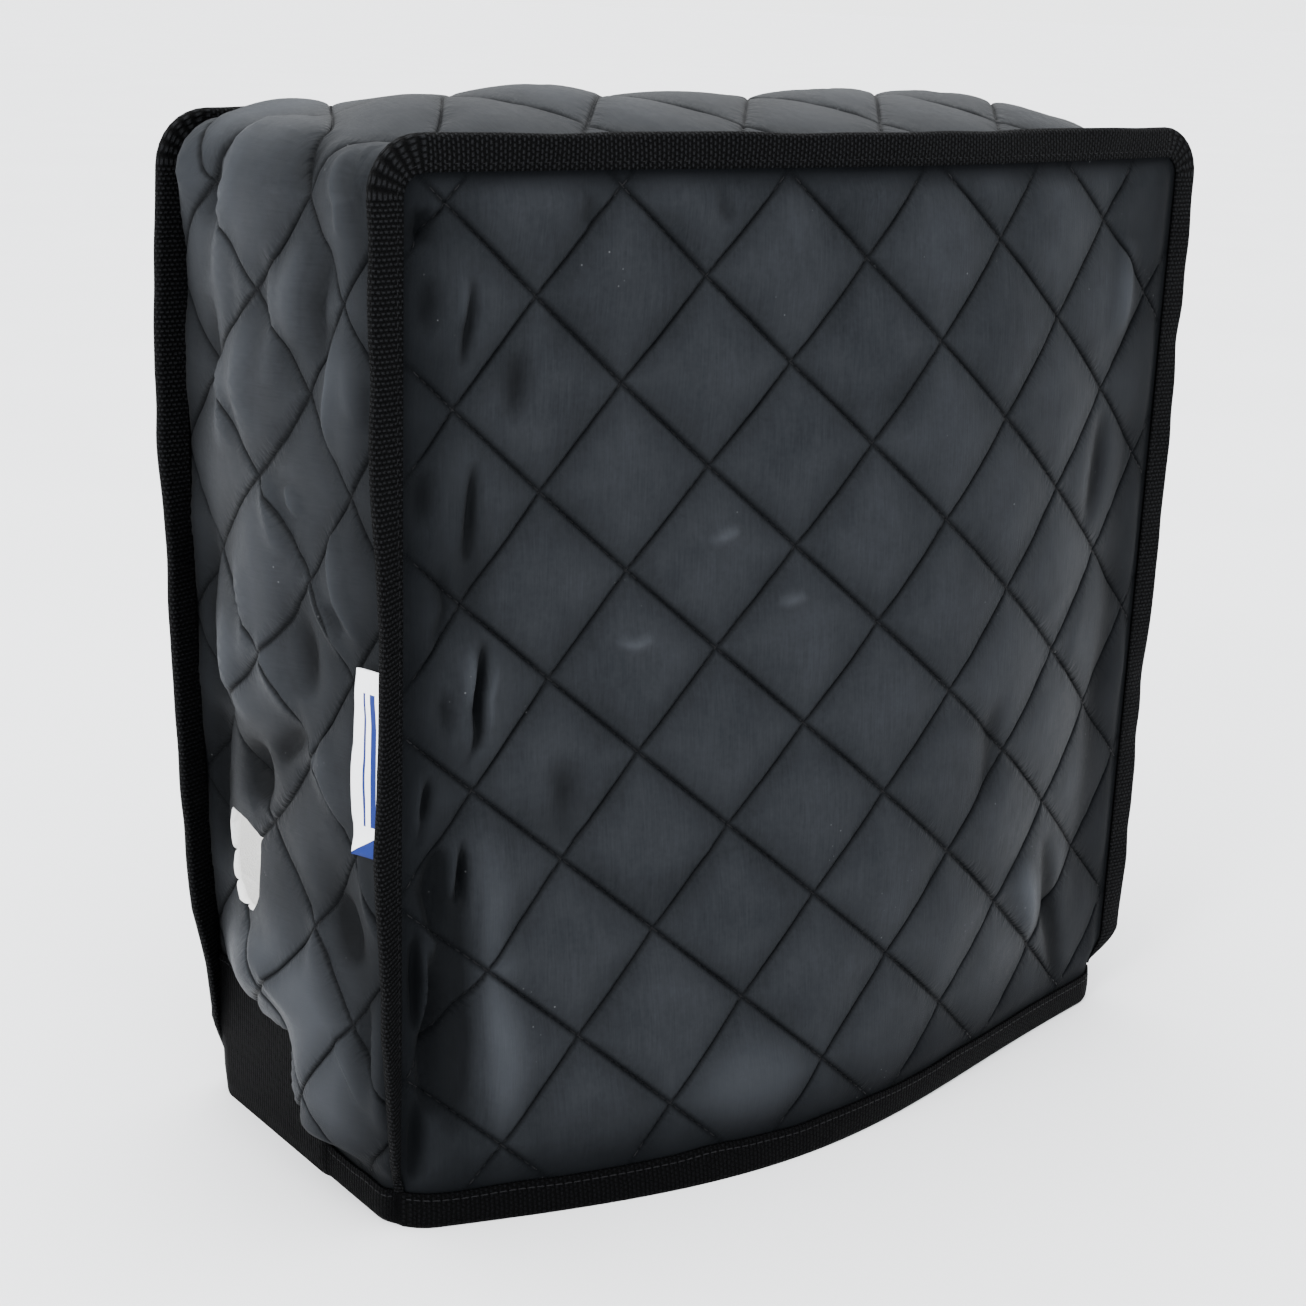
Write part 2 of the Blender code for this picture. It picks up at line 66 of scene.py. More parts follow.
# Quilting
DIAMOND = 0.0596
SIDE = DIAMOND / math.sqrt(2)
CELL_STOPS = np.array([0, 0.3, 0.6, 1.0, 1.6, 2.4, 3.5, 5.3, 8.0, 11.2, 14.5, 17.8]) / 1000
PUFF = 0.0031
PUFF_IN = 0.0005
STITCH = 0.0034
STITCH_SHARE = 0.86
THREAD = 0.00024
PUFF_SPREAD = 0.16
PUFF_ROUND = 0.44

# Puckers beside the thread and beside a seam: rise and pitch, and for a seam its reach
LINE_PUCKERS = ((0.00026, 0.0026), (0.00034, 0.0066))
SEAM_PUCKERS = ((0.00045, 0.0042, 0.004), (0.0008, 0.0105, 0.011))
PUCKER_START = 0.0008
PUCKER_REACH = 0.0032
GROOVE = 0.00022
GROOVE_BREADTH = 0.0007

# How far from a seam and the hem padding and creases reach their full height
PANEL_CALM, PANEL_EDGE = 0.0090, 0.006
GUSSET_CALM, GUSSET_EDGE = 0.0055, 0.004
HEM_CALM, HEM_EDGE = 0.010, 0.006

# Tape folded over a seam, its reach where it sways freely, and its stitches
TAPE = 0.0009
TAPE_HALF = CLOTH + GAP / 2 + GAP + TAPE
TAPE_REACH = 0.0119
TAPE_STITCH = 0.0030
TAPE_STITCH_SHARE = 0.8
TAPE_THREAD = 0.00022

# Hem tape turned up at the back left foot
FLAP = 0.036
FLAP_FRONT = 0.040
FLAP_EASE = 0.010
FLAP_LIFT = 0.0010
HEM_BEVEL = 0.0006

# Cloth that the loose left side takes up across itself, and its slump
SLACK = 0.026
SLACK_ACROSS = 0.055
SLACK_TOP = 0.325
SLACK_EASE = 0.060
SLUMP = 0.0140
SLUMP_TOP = 0.294
FRONT_SLACK = 0.012

# Bow, crown and lean of the pieces
FRONT_ARCHES = ((0.034, 0.062, 0.000), (-0.007, 0.021, -0.033), (-0.003, 0.000, -0.004))
BACK_BOW = 0.008
BACK_LEFT_PULL = 0.007
CROWN_TOP = 0.017
CROWN_LEFT = 0.007
CROWN_RIGHT = 0.008
CROWN_EASE = 0.055
FOOT_RADIUS = 0.011
LEAN_START = 0.003
LEAN_EASE = 0.010

# Forward lean of the left fins, as height and slope
FRONT_LEAN = (
    (0.012, 0.80), (0.050, 0.90), (0.088, 0.85), (0.116, 0.52), (0.150, 0.62),
    (0.200, 0.66), (0.241, 0.33), (0.290, 0.25), (0.330, 0.10),
)
BACK_LEAN = (
    (0.012, 0.90), (0.050, 0.85), (0.080, 0.50), (0.110, 0.35), (0.200, 0.33),
    (0.260, 0.05), (0.330, 0.00),
)

# Soft folds: height or distance up the strip, distance across, half length, half
# breadth, rise, and tilt in degrees
GUSSET_FOLDS = (
    (0.066, 0.068, 0.013, 0.022, 0.0085, 0),
    (0.040, 0.034, 0.024, 0.015, 0.0085, 0),
    (0.098, 0.024, 0.024, 0.008, -0.0030, -25),
    (0.074, 0.044, 0.026, 0.009, 0.0026, -50),
    (0.141, 0.068, 0.014, 0.012, -0.0040, 25),
    (0.285, 0.020, 0.045, 0.009, 0.0026, 0),
    (0.290, 0.076, 0.040, 0.013, 0.0026, 12),
    (0.200, 0.064, 0.050, 0.014, 0.0022, 0),
    (0.420, 0.055, 0.030, 0.020, 0.0020, 60),
    (0.560, 0.070, 0.030, 0.018, 0.0018, -50),
    (0.760, 0.060, 0.050, 0.016, 0.0024, 10),
    (0.900, 0.060, 0.030, 0.020, 0.0040, 20),
    (0.352, 0.102, 0.030, 0.015, 0.0065, 0),
    (0.318, 0.108, 0.026, 0.012, 0.0040, 0),
    (0.132, 0.101, 0.030, 0.014, -0.0032, 0),
)
FRONT_FOLDS = (
    (0.075, 0.017, 0.040, 0.007, -0.0045, 0),
    (0.070, 0.031, 0.045, 0.008, 0.0020, 3),
    (0.215, 0.024, 0.020, 0.007, -0.0016, 0),
    (0.140, 0.299, 0.080, 0.010, -0.0020, -4),
    (0.030, 0.120, 0.014, 0.030, 0.0018, 0),
)

# Where each piece's stitch lines cross, and the turn of its quilting
FRONT_QUILTING = ((0.0130, 0.3226), 0.067)
BACK_QUILTING = ((0.0250, 0.3100), -0.030)
GUSSET_QUILTING = ((0.2920, 0.0300), 0.010)

# Hose hole: middle and half sizes along and across the strip
HOLE = np.array([0.101, 0.083])
HOLE_HALF = np.array([0.0165, 0.0155])

# How much the rises in the tables below grow, and the rise that counts as deepest in the painted fold
# shade and highlight
FRONT_CREASE_GAIN, SIDE_CREASE_GAIN = 1.7, 1.35
PANEL_DEEPEST, GUSSET_DEEPEST = 0.0030, 0.0050

# Creases narrower than this get a finer mesh, down to a smallest face
NARROW = 0.0027
FINEST = 1.4e-6

# Creases along bent lines: points up and across, half breadth and rise
SIDE_CREASES = (
    (((0.330, 0.028), (0.321, 0.021), (0.311, 0.021)), 0.0022, 0.0016),
    (((0.285, 0.024), (0.269, 0.024), (0.256, 0.028), (0.245, 0.027)), 0.0026, 0.0020),
    (((0.227, 0.028), (0.218, 0.027), (0.203, 0.023), (0.190, 0.015)), 0.0022, 0.0022),
    (((0.209, 0.041), (0.203, 0.037), (0.193, 0.030), (0.183, 0.021)), 0.0022, 0.0022),
    (((0.201, 0.031), (0.192, 0.023)), 0.0024, -0.0012),
    (((0.237, 0.060), (0.228, 0.057), (0.217, 0.052), (0.213, 0.047)), 0.0028, 0.0020),
    (((0.235, 0.047), (0.225, 0.042)), 0.0024, 0.0016),
    (((0.187, 0.061), (0.175, 0.059), (0.160, 0.045)), 0.0045, 0.0026),
    (((0.198, 0.044), (0.183, 0.040), (0.168, 0.038)), 0.0050, -0.0034),
    (((0.190, 0.085), (0.164, 0.082), (0.152, 0.065)), 0.0070, 0.0034),
    (((0.146, 0.073), (0.124, 0.071)), 0.0070, -0.0050),
    (((0.158, 0.043), (0.143, 0.058)), 0.0050, -0.0040),
    (((0.161, 0.033), (0.144, 0.032), (0.130, 0.024)), 0.0040, 0.0022),
    (((0.155, 0.040), (0.143, 0.035)), 0.0028, 0.0014),
    (((0.310, 0.029), (0.291, 0.034), (0.272, 0.033)), 0.0044, -0.0030),
    (((0.310, 0.037), (0.294, 0.044), (0.276, 0.046)), 0.0060, 0.0020),
    (((0.285, 0.066), (0.262, 0.072), (0.240, 0.066)), 0.0040, 0.0018),
    (((0.341, 0.076), (0.324, 0.076), (0.308, 0.082), (0.289, 0.087)), 0.0045, 0.0026),
    (((0.327, 0.088), (0.308, 0.095)), 0.0050, -0.0024),
    (((0.329, 0.108), (0.314, 0.103)), 0.0040, 0.0018),
    (((0.334, 0.045), (0.322, 0.039)), 0.0040, -0.0022),
    (((0.287, 0.092), (0.259, 0.095)), 0.0050, -0.0026),
    (((0.270, 0.086), (0.239, 0.083)), 0.0045, 0.0024),
    (((0.302, 0.078), (0.278, 0.075)), 0.0040, -0.0014),
    (((0.279, 0.017), (0.258, 0.015)), 0.0040, 0.0016),
    (((0.272, 0.011), (0.255, 0.011)), 0.0022, -0.0016),
    (((0.333, 0.027), (0.323, 0.016), (0.310, 0.014)), 0.0030, -0.0018),
    (((0.080, 0.076), (0.071, 0.058), (0.062, 0.038)), 0.0040, 0.0020),
    (((0.107, 0.028), (0.094, 0.024), (0.083, 0.022)), 0.0050, -0.0038),
    (((0.100, 0.038), (0.085, 0.037), (0.072, 0.030)), 0.0040, 0.0018),
    (((0.124, 0.018), (0.106, 0.011), (0.093, 0.006)), 0.0030, 0.0022),
    (((0.080, 0.009), (0.057, 0.007), (0.032, 0.008)), 0.0030, 0.0030),
    (((0.074, 0.014), (0.052, 0.013)), 0.0030, -0.0020),
    (((0.065, 0.027), (0.052, 0.018), (0.038, 0.011)), 0.0022, 0.0018),
    (((0.310, 0.055), (0.286, 0.052), (0.262, 0.056)), 0.0034, 0.0016),
    (((0.210, 0.075), (0.190, 0.070), (0.170, 0.072)), 0.0036, 0.0018),
    (((0.215, 0.100), (0.180, 0.104), (0.150, 0.100)), 0.0060, -0.0030),
    (((0.150, 0.104), (0.120, 0.108), (0.090, 0.106)), 0.0060, -0.0030),
)
FRONT_CREASES = (
    (((0.190, 0.029), (0.176, 0.026), (0.163, 0.027), (0.150, 0.021)), 0.0017, -0.0014),
    (((0.185, 0.033), (0.173, 0.029), (0.162, 0.030)), 0.0022, 0.0009),
    (((0.150, 0.009), (0.128, 0.004)), 0.0018, -0.0012),
    (((0.155, 0.005), (0.131, 0.004)), 0.0020, 0.0009),
    (((0.126, 0.021), (0.108, 0.020)), 0.0016, -0.0012),
    (((0.105, 0.004), (0.094, 0.005), (0.081, 0.006)), 0.0020, -0.0015),
    (((0.109, 0.004), (0.098, 0.010), (0.084, 0.012)), 0.0020, 0.0011),
    (((0.219, 0.012), (0.204, 0.015), (0.192, 0.010)), 0.0026, -0.0012),
    (((0.303, 0.022), (0.290, 0.021), (0.274, 0.019)), 0.0022, -0.0018),
    (((0.303, 0.019), (0.287, 0.018)), 0.0028, 0.0008),
    (((0.248, 0.024), (0.233, 0.023), (0.216, 0.022)), 0.0020, -0.0020),
    (((0.304, 0.008), (0.285, 0.006)), 0.0035, -0.0016),
    (((0.248, 0.007), (0.228, 0.006)), 0.0035, -0.0016),
    (((0.281, 0.039), (0.257, 0.038)), 0.0050, -0.0014),
    (((0.322, 0.006), (0.310, 0.004)), 0.0035, -0.0030),
    (((0.193, 0.029), (0.176, 0.026), (0.156, 0.026)), 0.0020, -0.0024),
    (((0.193, 0.023), (0.171, 0.022)), 0.0030, 0.0012),
    (((0.180, 0.013), (0.163, 0.016)), 0.0030, -0.0014),
    (((0.153, 0.009), (0.138, 0.006)), 0.0018, -0.0016),
    (((0.130, 0.021), (0.105, 0.020)), 0.0016, -0.0018),
    (((0.132, 0.018), (0.108, 0.016)), 0.0018, 0.0012),
    (((0.129, 0.013), (0.115, 0.010), (0.097, 0.013)), 0.0038, -0.0036),
    (((0.100, 0.003), (0.081, 0.004), (0.068, 0.004)), 0.0020, -0.0030),
    (((0.100, 0.006), (0.086, 0.007), (0.067, 0.006)), 0.0016, 0.0024),
    (((0.098, 0.011), (0.081, 0.011), (0.058, 0.009), (0.038, 0.009)), 0.0036, -0.0046),
    (((0.046, 0.004), (0.016, 0.003)), 0.0026, -0.0030),
    (((0.186, 0.074), (0.184, 0.081), (0.186, 0.089)), 0.0020, 0.0010),
    (((0.215, 0.106), (0.219, 0.118)), 0.0020, 0.0009),
    (((0.193, 0.129), (0.196, 0.141)), 0.0020, 0.0009),
    (((0.090, 0.263), (0.043, 0.281), (0.016, 0.292)), 0.0045, -0.0024),
    (((0.082, 0.249), (0.044, 0.265)), 0.0050, 0.0018),
    (((0.245, 0.285), (0.200, 0.277)), 0.0050, -0.0018),
    (((0.305, 0.296), (0.268, 0.291)), 0.0050, 0.0016),
    (((0.326, 0.060), (0.314, 0.062)), 0.0030, -0.0010),
    (((0.326, 0.105), (0.314, 0.111)), 0.0030, -0.0010),
    (((0.154, 0.055), (0.119, 0.058)), 0.0060, -0.0012),
    (((0.153, 0.225), (0.109, 0.221)), 0.0060, -0.0012),
)


# Shapes

def ease(value):
    share = np.clip(value, 0, 1)
    return share * share * (3 - 2 * share)


def fold_lift(folds, up, across):
    """Summed rise of soft folds."""
    total = np.zeros_like(up)
    for fold_up, fold_across, half_long, half_wide, rise, tilt in folds:
        cos, sin = math.cos(math.radians(tilt)), math.sin(math.radians(tilt))
        rise_up = up - fold_up
        shift = across - fold_across
        lengthwise = (rise_up * cos - shift * sin) / half_long
        crosswise = (shift * cos + rise_up * sin) / half_wide
        total += rise * np.exp(-lengthwise ** 2 - crosswise ** 2)
    return total


def walk_line(line, spots):
    """Distance of points from a bent line, and their share of the way along it."""
    line = np.array(line)
    spans = np.diff(line, axis=0)
    lengths = np.hypot(spans[:, 0], spans[:, 1])
    nearest = np.full(len(spots), np.inf)
    travelled = np.zeros(len(spots))
    done = 0.0
    for start, span, length in zip(line, spans, lengths):
        share = np.clip((spots - start) @ span / length ** 2, 0, 1)
        away = np.linalg.norm(spots - start - share[:, None] * span, axis=1)
        travelled = np.where(away < nearest, (done + share * length) / lengths.sum(), travelled)
        nearest = np.minimum(nearest, away)
        done += length
    return nearest, travelled


def crease_lift(creases, up, across):
    """Summed rise of creases along bent lines, which fade out at their ends."""
    total = np.zeros_like(up)
    spots = np.stack([up, across], 1)
    for line, breadth, rise in creases:
        away, travelled = walk_line(line, spots)
        fade = 4 * travelled * (1 - travelled)
        total += rise * fade * np.exp(-(away / breadth) ** 1.6)
    return total


def front_bow(across, up):
    """Forward bow of the front panel, for shares of the width and the height."""
    low = 1 - up
    middle = 4 * up * (1 - up)
    total = 0.0
    for arch, (always, at_foot, at_middle) in enumerate(FRONT_ARCHES, start=1):
        share = always + at_foot * low + at_middle * middle
        total = total + share * np.sin(arch * math.pi * across)
    return HEIGHT * total


def arc_gain(x, z):
    """How much longer the bowed panel is than its straight width, up to x."""
    steps = 16
    gain = 0.0
    up = np.clip(z / HEIGHT, 0, 1)
    for step in range(steps):
        left = x * step / steps / WIDTH
        right = x * (step + 1) / steps / WIDTH
        rise = front_bow(right, up) - front_bow(left, up)
        run = (right - left) * WIDTH
        gain = gain + np.hypot(run, rise) - run
    return gain


def panel_gain(spots):
    """Extra cloth of the bowed front panel, for straight points."""
    x, z = np.clip(spots[:, 0], 0, WIDTH), np.clip(spots[:, 1], 0, HEIGHT)
    return np.stack([arc_gain(x, z), 0 * z], 1)


def gusset_gain(spots):
    """Extra cloth that the loose left side takes up in its folds, for straight points."""
    along, back = spots.T
    left = 1 - ease((along - SLACK_TOP) / SLACK_EASE)
    slump = -SLUMP * np.clip(1 - along / SLUMP_TOP, 0, 1)
    return np.stack([slump, SLACK * ease(back / SLACK_ACROSS) * left], 1)


def runs_of(spots, gain):
    """Runs over the cloth of straight points, with its extra cloth."""
    return spots + gain(spots) if gain else spots


def straight_of(runs, gain):
    """Straight points of points given by their runs over the cloth."""
    if not gain:
        return runs
    spots = runs
    for _ in range(40):
        closer = runs - gain(spots)
        moved = np.abs(closer - spots).max()
        spots = closer
        if moved < 1e-6:
            break
    return spots


def settle(points):
    """Bow, lean and round points of the straight seam box, and set them in place."""
    x, y, z = np.array(points, float).reshape(-1, 3).T.copy()

    # The foot's corners are round where the fins have run out
    square = ease((z - HEM) / (TAPER_RIGHT - HEM))
    for middle_x, way_x in ((FOOT_RADIUS, -1), (WIDTH - FOOT_RADIUS, 1)):
        for middle_y, way_y in ((FOOT_RADIUS, -1), (DEPTH - FOOT_RADIUS, 1)):
            past_x = np.maximum(0, way_x * (x - middle_x))
            past_y = np.maximum(0, way_y * (y - middle_y))
            length = np.maximum(np.hypot(past_x, past_y), 1e-9)
            both = (past_x > 0) & (past_y > 0)
            pull = np.where(both, np.maximum(past_x, past_y) / length - 1, 0) * (1 - square)
            x = x + way_x * past_x * pull
            y = y + way_y * past_y * pull

    across = np.clip(x / WIDTH, 0, 1)
    up = np.clip(z / HEIGHT, 0, 1)
    back = np.clip(y / DEPTH, 0, 1)

    # The left fins lean forward
    outward = np.maximum(0, -x)
    near_front = 1 - ease((y - LEAN_START) / LEAN_EASE)
    near_back = 1 - ease((DEPTH - y - LEAN_START) / LEAN_EASE)
    lean = near_front * np.interp(z, *zip(*FRONT_LEAN)) + near_back * np.interp(z, *zip(*BACK_LEAN))

    # The panels bow out, and the back left seam is pulled outward
    arch = np.sin(math.pi * np.clip((up - 0.15) / 1.15, 0, 1))
    new_x = x - BACK_LEFT_PULL * arch * ease(back) * (1 - ease(2 * across))
    new_y = y - outward * lean - front_bow(across, up) * (1 - back)
    new_y = new_y + BACK_BOW * np.sin(math.pi * across) * back
    return np.stack([new_x, new_y, z], axis=1) + SEAM_ORIGIN


def seam_place(along):
    """Points of the seam line and their outward directions, each in x and z."""
    along = np.asarray(along, float)
    stops = np.cumsum([SIDE_RUN, CORNER_RUN, TOP_RUN, CORNER_RUN])
    turn = np.clip((along - stops[0]) / SEAM_CORNER, 0, math.pi / 2)
    turn = turn + np.clip((along - stops[2]) / SEAM_CORNER, 0, math.pi / 2)
    out_x, out_z = -np.cos(turn), np.sin(turn)
    straight_up = np.minimum(along, stops[0])
    over = np.clip(along - stops[1], 0, TOP_RUN)
    down = np.maximum(along - stops[3], 0)
    middle_x = SEAM_CORNER + over
    x = middle_x + SEAM_CORNER * out_x
    z = straight_up + SEAM_CORNER * out_z - down
    return x, z, out_x, out_z


def allowance(height, x):
    taper_top = np.where(x < WIDTH / 2, TAPER_LEFT, TAPER_RIGHT)
    share = np.clip((height - HEM_MARGIN) / (taper_top - HEM_MARGIN), 0, 1)
    return STUB + (ALLOWANCE - STUB) * share


def strip_height(along):
    return np.minimum(along, STRIP - along)


def seam_distance(x, z):
    """Distance of a point of a panel from its side and top seams."""
    from_side = np.minimum(x, WIDTH - x)
    into_corner = np.hypot(
        np.maximum(0, SEAM_CORNER - from_side), np.maximum(0, z - SIDE_RUN)
    )
    near_top = np.minimum(np.minimum(from_side, HEIGHT - z), SEAM_CORNER - into_corner)
    return np.where(z > SIDE_RUN, near_top, from_side)


def hem_height(x, y):
    """Height of the tape's outer wall: it is turned up at the back left foot."""
    wave = 0.0006 * noise_1d((x + 2 * y) / 0.017, 4)
    left = 1 - ease(x / 0.010)
    flap = FLAP * ease((y - FLAP_FRONT) / FLAP_EASE) + 0.005 * ease((y - 0.055) / 0.040)
    return HEM + wave + left * flap


# Quilting, in lattice numbers that are whole on the stitch lines

def stitch_axes(turn):
    angle = math.pi / 4 + turn
    cos, sin = math.cos(angle), math.sin(angle)
    return SIDE * np.array([[cos, sin], [-sin, cos]])


def lattice_of(flat, crossing, turn):
    return (flat - np.array(crossing)) @ np.linalg.inv(stitch_axes(turn))


def lattice_reach(low, high, crossing, turn, gain=None):
    """Numbers of the stitch lines just outside a rectangle, in both directions."""
    corners = np.array([(x, y) for x in (low[0], high[0]) for y in (low[1], high[1])])
    reach = lattice_of(runs_of(corners, gain), crossing, turn)
    return np.floor(reach.min(0)).astype(int) - 1, np.ceil(reach.max(0)).astype(int) + 1


def noise_1d(value, seed):
    """Smooth noise between -1 and 1, along a line."""
    cell = np.floor(value)
    part = value - cell
    part = part * part * (3 - 2 * part)

    def level(number):
        return 2 * np.modf(np.abs(np.sin(number * 12.9898 + seed * 78.233)) * 43758.5453)[0] - 1

    return level(cell) * (1 - part) + level(cell + 1) * part


def quilt_relief(lattice, seed):
    """Height of the padded cloth over its stitch lines, in metres."""
    near = lattice - np.round(lattice)
    away = np.abs(near) * SIDE
    cell = np.floor(lattice)
    part = lattice - cell
    bump = np.clip(16 * part[:, 0] * (1 - part[:, 0]) * part[:, 1] * (1 - part[:, 1]), 0, 1)
    fullness = 1 + PUFF_SPREAD * noise_1d(cell[:, 0] * 3.7 + cell[:, 1] * 9.1 + 0.5, seed)
    height = PUFF * fullness * bump ** PUFF_ROUND

    # Puckers pulled up beside the thread, a different row on each side of each line
    for axis in (0, 1):
        along = lattice[:, 1 - axis] * SIDE
        line = np.round(lattice[:, axis])
        side = np.sign(near[:, axis])
        row = line * 5.3 + side * 2.1 + axis * 17.7
        (fine_rise, fine_pitch), (broad_rise, broad_pitch) = LINE_PUCKERS
        fine = noise_1d(along / fine_pitch + row * 31.7, seed + 1)
        broad = noise_1d(along / broad_pitch + row * 13.1, seed + 2)
        reach = PUCKER_REACH * (1.1 + 0.5 * noise_1d(along / 0.011 + row, seed + 3))
        close = (away[:, axis] / PUCKER_START) ** 2
        grow = close / (1 + close) * np.exp(-away[:, axis] / reach)
        height = height + grow * (fine_rise * fine + broad_rise * broad)

    # The thread's own groove, deepest at each needle hole
    for axis in (0, 1):
        along = lattice[:, 1 - axis] * SIDE
        hole = 0.5 + 0.5 * np.cos(2 * math.pi * along / STITCH)
        groove = np.exp(-(away[:, axis] / GROOVE_BREADTH) ** 2)
        height = height - groove * (GROOVE + GROOVE * hole)
    return height


def seam_puckers(away, along, seed):
    """Small gathers that a seam pulls into the cloth beside it."""
    total = 0.0
    for number, (rise, pitch, reach) in enumerate(SEAM_PUCKERS):
        total = total + rise * noise_1d(along / pitch, seed + number) * np.exp(-away / reach)
    return total * away / (away + PUCKER_START)


def crease_table(seed, count, low, high, long, rise):
    """Rows of random soft creases spread over a piece, like the fold tables."""
    random = np.random.default_rng(seed)
    rows = []
    for _ in range(count):
        up, across = random.uniform(low, high)
        length = random.uniform(*long)
        rows.append((
            up, across, length, random.uniform(0.0014, 0.0032),
            random.choice((-1, 1)) * random.uniform(*rise), random.uniform(-80, 80),
        ))
    return rows


# Mesh making

def cell_places():
    """Places of the cells of one diamond side, closer together beside the stitching."""
    stops = CELL_STOPS / SIDE
    return np.concatenate([stops, [0.5], 1 - stops[:0:-1]])


def grid_quads(index):
    """Faces of a grid of points, from the grid of their numbers."""
    quads = np.stack([index[:-1, :-1], index[1:, :-1], index[1:, 1:], index[:-1, 1:]], -1)
    return quads.reshape(-1, 4)


def quilt_mesh(low, high, crossing, turn, gain=None):
    """Flat mesh over a rectangle, with its rows along the stitch lines."""
    low, high = np.array(low), np.array(high)
    first, last = lattice_reach(low, high, crossing, turn, gain)
    lines = []
    for axis in (0, 1):
        starts = np.arange(first[axis], last[axis])
        lines.append((starts[:, None] + cell_places()).ravel())
    across, along = np.meshgrid(*lines, indexing="ij")
    spots = np.stack([across.ravel(), along.ravel()], 1) @ stitch_axes(turn) + np.array(crossing)
    spots = straight_of(spots, gain)
    quads = grid_quads(np.arange(len(spots)).reshape(across.shape))
    middle = spots[quads].mean(1)
    margin = 0.004
    quads = quads[np.all((middle > low - margin) & (middle < high + margin), axis=1)]
    used, quads = np.unique(quads, return_inverse=True)
    quads = quads.reshape(-1, 4)
    mesh = bpy.data.meshes.new("flat")
    mesh.from_pydata(np.pad(spots[used], ((0, 0), (0, 1))).tolist(), [], quads.tolist())
    sheet = bmesh.new()
    sheet.from_mesh(mesh)
    bpy.data.meshes.remove(mesh)
    return sheet


def refine(sheet, creases):
    """Finer mesh along the narrow creases of a flat sheet; they are up and across."""
    for reach in (2.4, 1.5):
        faces = sheet.faces[:]
        middles = np.array([face.calc_center_median().xy for face in faces])
        close = np.zeros(len(faces), bool)
        for line, breadth, _ in creases:
            if breadth < NARROW:
                close |= walk_line(line, middles)[0] < reach * breadth + 0.0010
        wide = np.array([face.calc_area() > FINEST for face in faces])
        edges = {edge for face, keep in zip(faces, close & wide) if keep for edge in face.edges}
        bmesh.ops.subdivide_edges(sheet, edges=list(edges), cuts=1, use_grid_fill=True)


def slice_sheet(sheet, point, normal, trim=False, near=None):
    """Cut a flat sheet along a line, and with trim remove what lies past it."""
    faces = sheet.faces[:] if near is None else near
    edges = {edge for face in faces for edge in face.edges}
    verts = {vert for face in faces for vert in face.verts}
    bmesh.ops.bisect_plane(
        sheet, geom=list(verts) + list(edges) + list(faces), dist=0.00002,
        plane_co=(*point, 0), plane_no=(*normal, 0), clear_outer=trim,
    )


def bind_rim(sheet, is_hem):
    """Add the seam allowance: a strip whose z of 1 marks its outer edge."""
    rim = [edge for edge in sheet.edges if edge.is_boundary and not is_hem(edge)]
    new = bmesh.ops.extrude_edge_only(sheet, edges=rim)["geom"]
    for vert in new:
        if isinstance(vert, bmesh.types.BMVert):
            vert.co.z = 1.0


def dress(name, points, faces, materials, kinds=None, maps=()):
    """Mesh object from arrays, with named maps such as the flat cloth in metres."""
    mesh = bpy.data.meshes.new(name)
    mesh.from_pydata(np.asarray(points).tolist(), [], faces)
    for material in materials:
        mesh.materials.append(material)
    if kinds is not None:
        mesh.polygons.foreach_set("material_index", np.asarray(kinds, np.int32))
    corner = np.empty(len(mesh.loops), np.int32)
    mesh.loops.foreach_get("vertex_index", corner)
    for label, map_of in maps:
        layer = mesh.uv_layers.new(name=label)
        layer.data.foreach_set("uv", np.asarray(map_of, np.float32)[corner].ravel())
    mesh.shade_smooth()
    mesh.validate()
    solid = bmesh.new()
    solid.from_mesh(mesh)
    if solid.calc_volume(signed=True) < 0:
        mesh.flip_normals()
    solid.free()
    piece = bpy.data.objects.new(name, mesh)
    bpy.context.scene.collection.objects.link(piece)
    return piece


def sweep(name, sections, along, points, closed, material):
    """Tape from one cross section after another, as a ring or with capped ends."""
    stations, count = sections.shape[:2]
    section = sections[0 if closed else stations // 2]
    girth = np.cumsum(np.linalg.norm(np.diff(section, axis=0, prepend=0), axis=1))
    flat = np.stack(np.broadcast_arrays(along[:, None], girth[None, :]), -1)
    faces = []
    for station in range(stations if closed else stations - 1):
        base, following = station * count, (station + 1) % stations * count
        for corner in range(count):
            beyond = (corner + 1) % count
            face = [base + corner, following + corner, following + beyond, base + beyond]
            faces.append(face[:1] + face[:0:-1] if closed else face)
    if not closed:
        faces.append(list(range(count)))
        faces.append(list(range((stations - 1) * count, stations * count))[::-1])
    maps = [("flat cloth", flat.reshape(-1, 2))]
    return dress(name, settle(points.reshape(-1, 3)), faces, [material], None, maps)


def cloth_piece(name, sheet, skins, materials, gain, quilting, margin_of, fold_of):
    """Closed cloth between the outer and the inner points that skins() gives."""
    sheet.verts.index_update()
    flat = np.array([vert.co[:] for vert in sheet.verts])
    outer, inner = skins(flat)
    count = len(flat)
    faces, kinds = [], []
    for face in sheet.faces:
        loop = [vert.index for vert in face.verts]
        faces.append(loop)
        faces.append([index + count for index in reversed(loop)])
        kinds += [0, 0 if any(vert.co.z > 0 for vert in face.verts) else 1]
    for edge in sheet.edges:
        if edge.is_boundary:
            loop = edge.link_loops[0]
            first, second = loop.vert.index, loop.link_loop_next.vert.index
            faces.append([second, first, first + count, second + count])
            kinds.append(0 if edge.verts[0].co.z > 0 else 1)
    sheet.free()
    points = np.concatenate([settle(outer), settle(inner)])
    runs = runs_of(flat[:, :2], gain)
    maps = []
    for label, one_side in (
        ("flat cloth", runs), ("stitch lines", lattice_of(runs, *quilting)),
        ("from seams", margin_of(flat)), ("folds", fold_of(flat)),
    ):
        maps.append((label, np.concatenate([one_side, one_side])))
    return dress(name, points, faces, materials, kinds, maps)


# Front and back panels

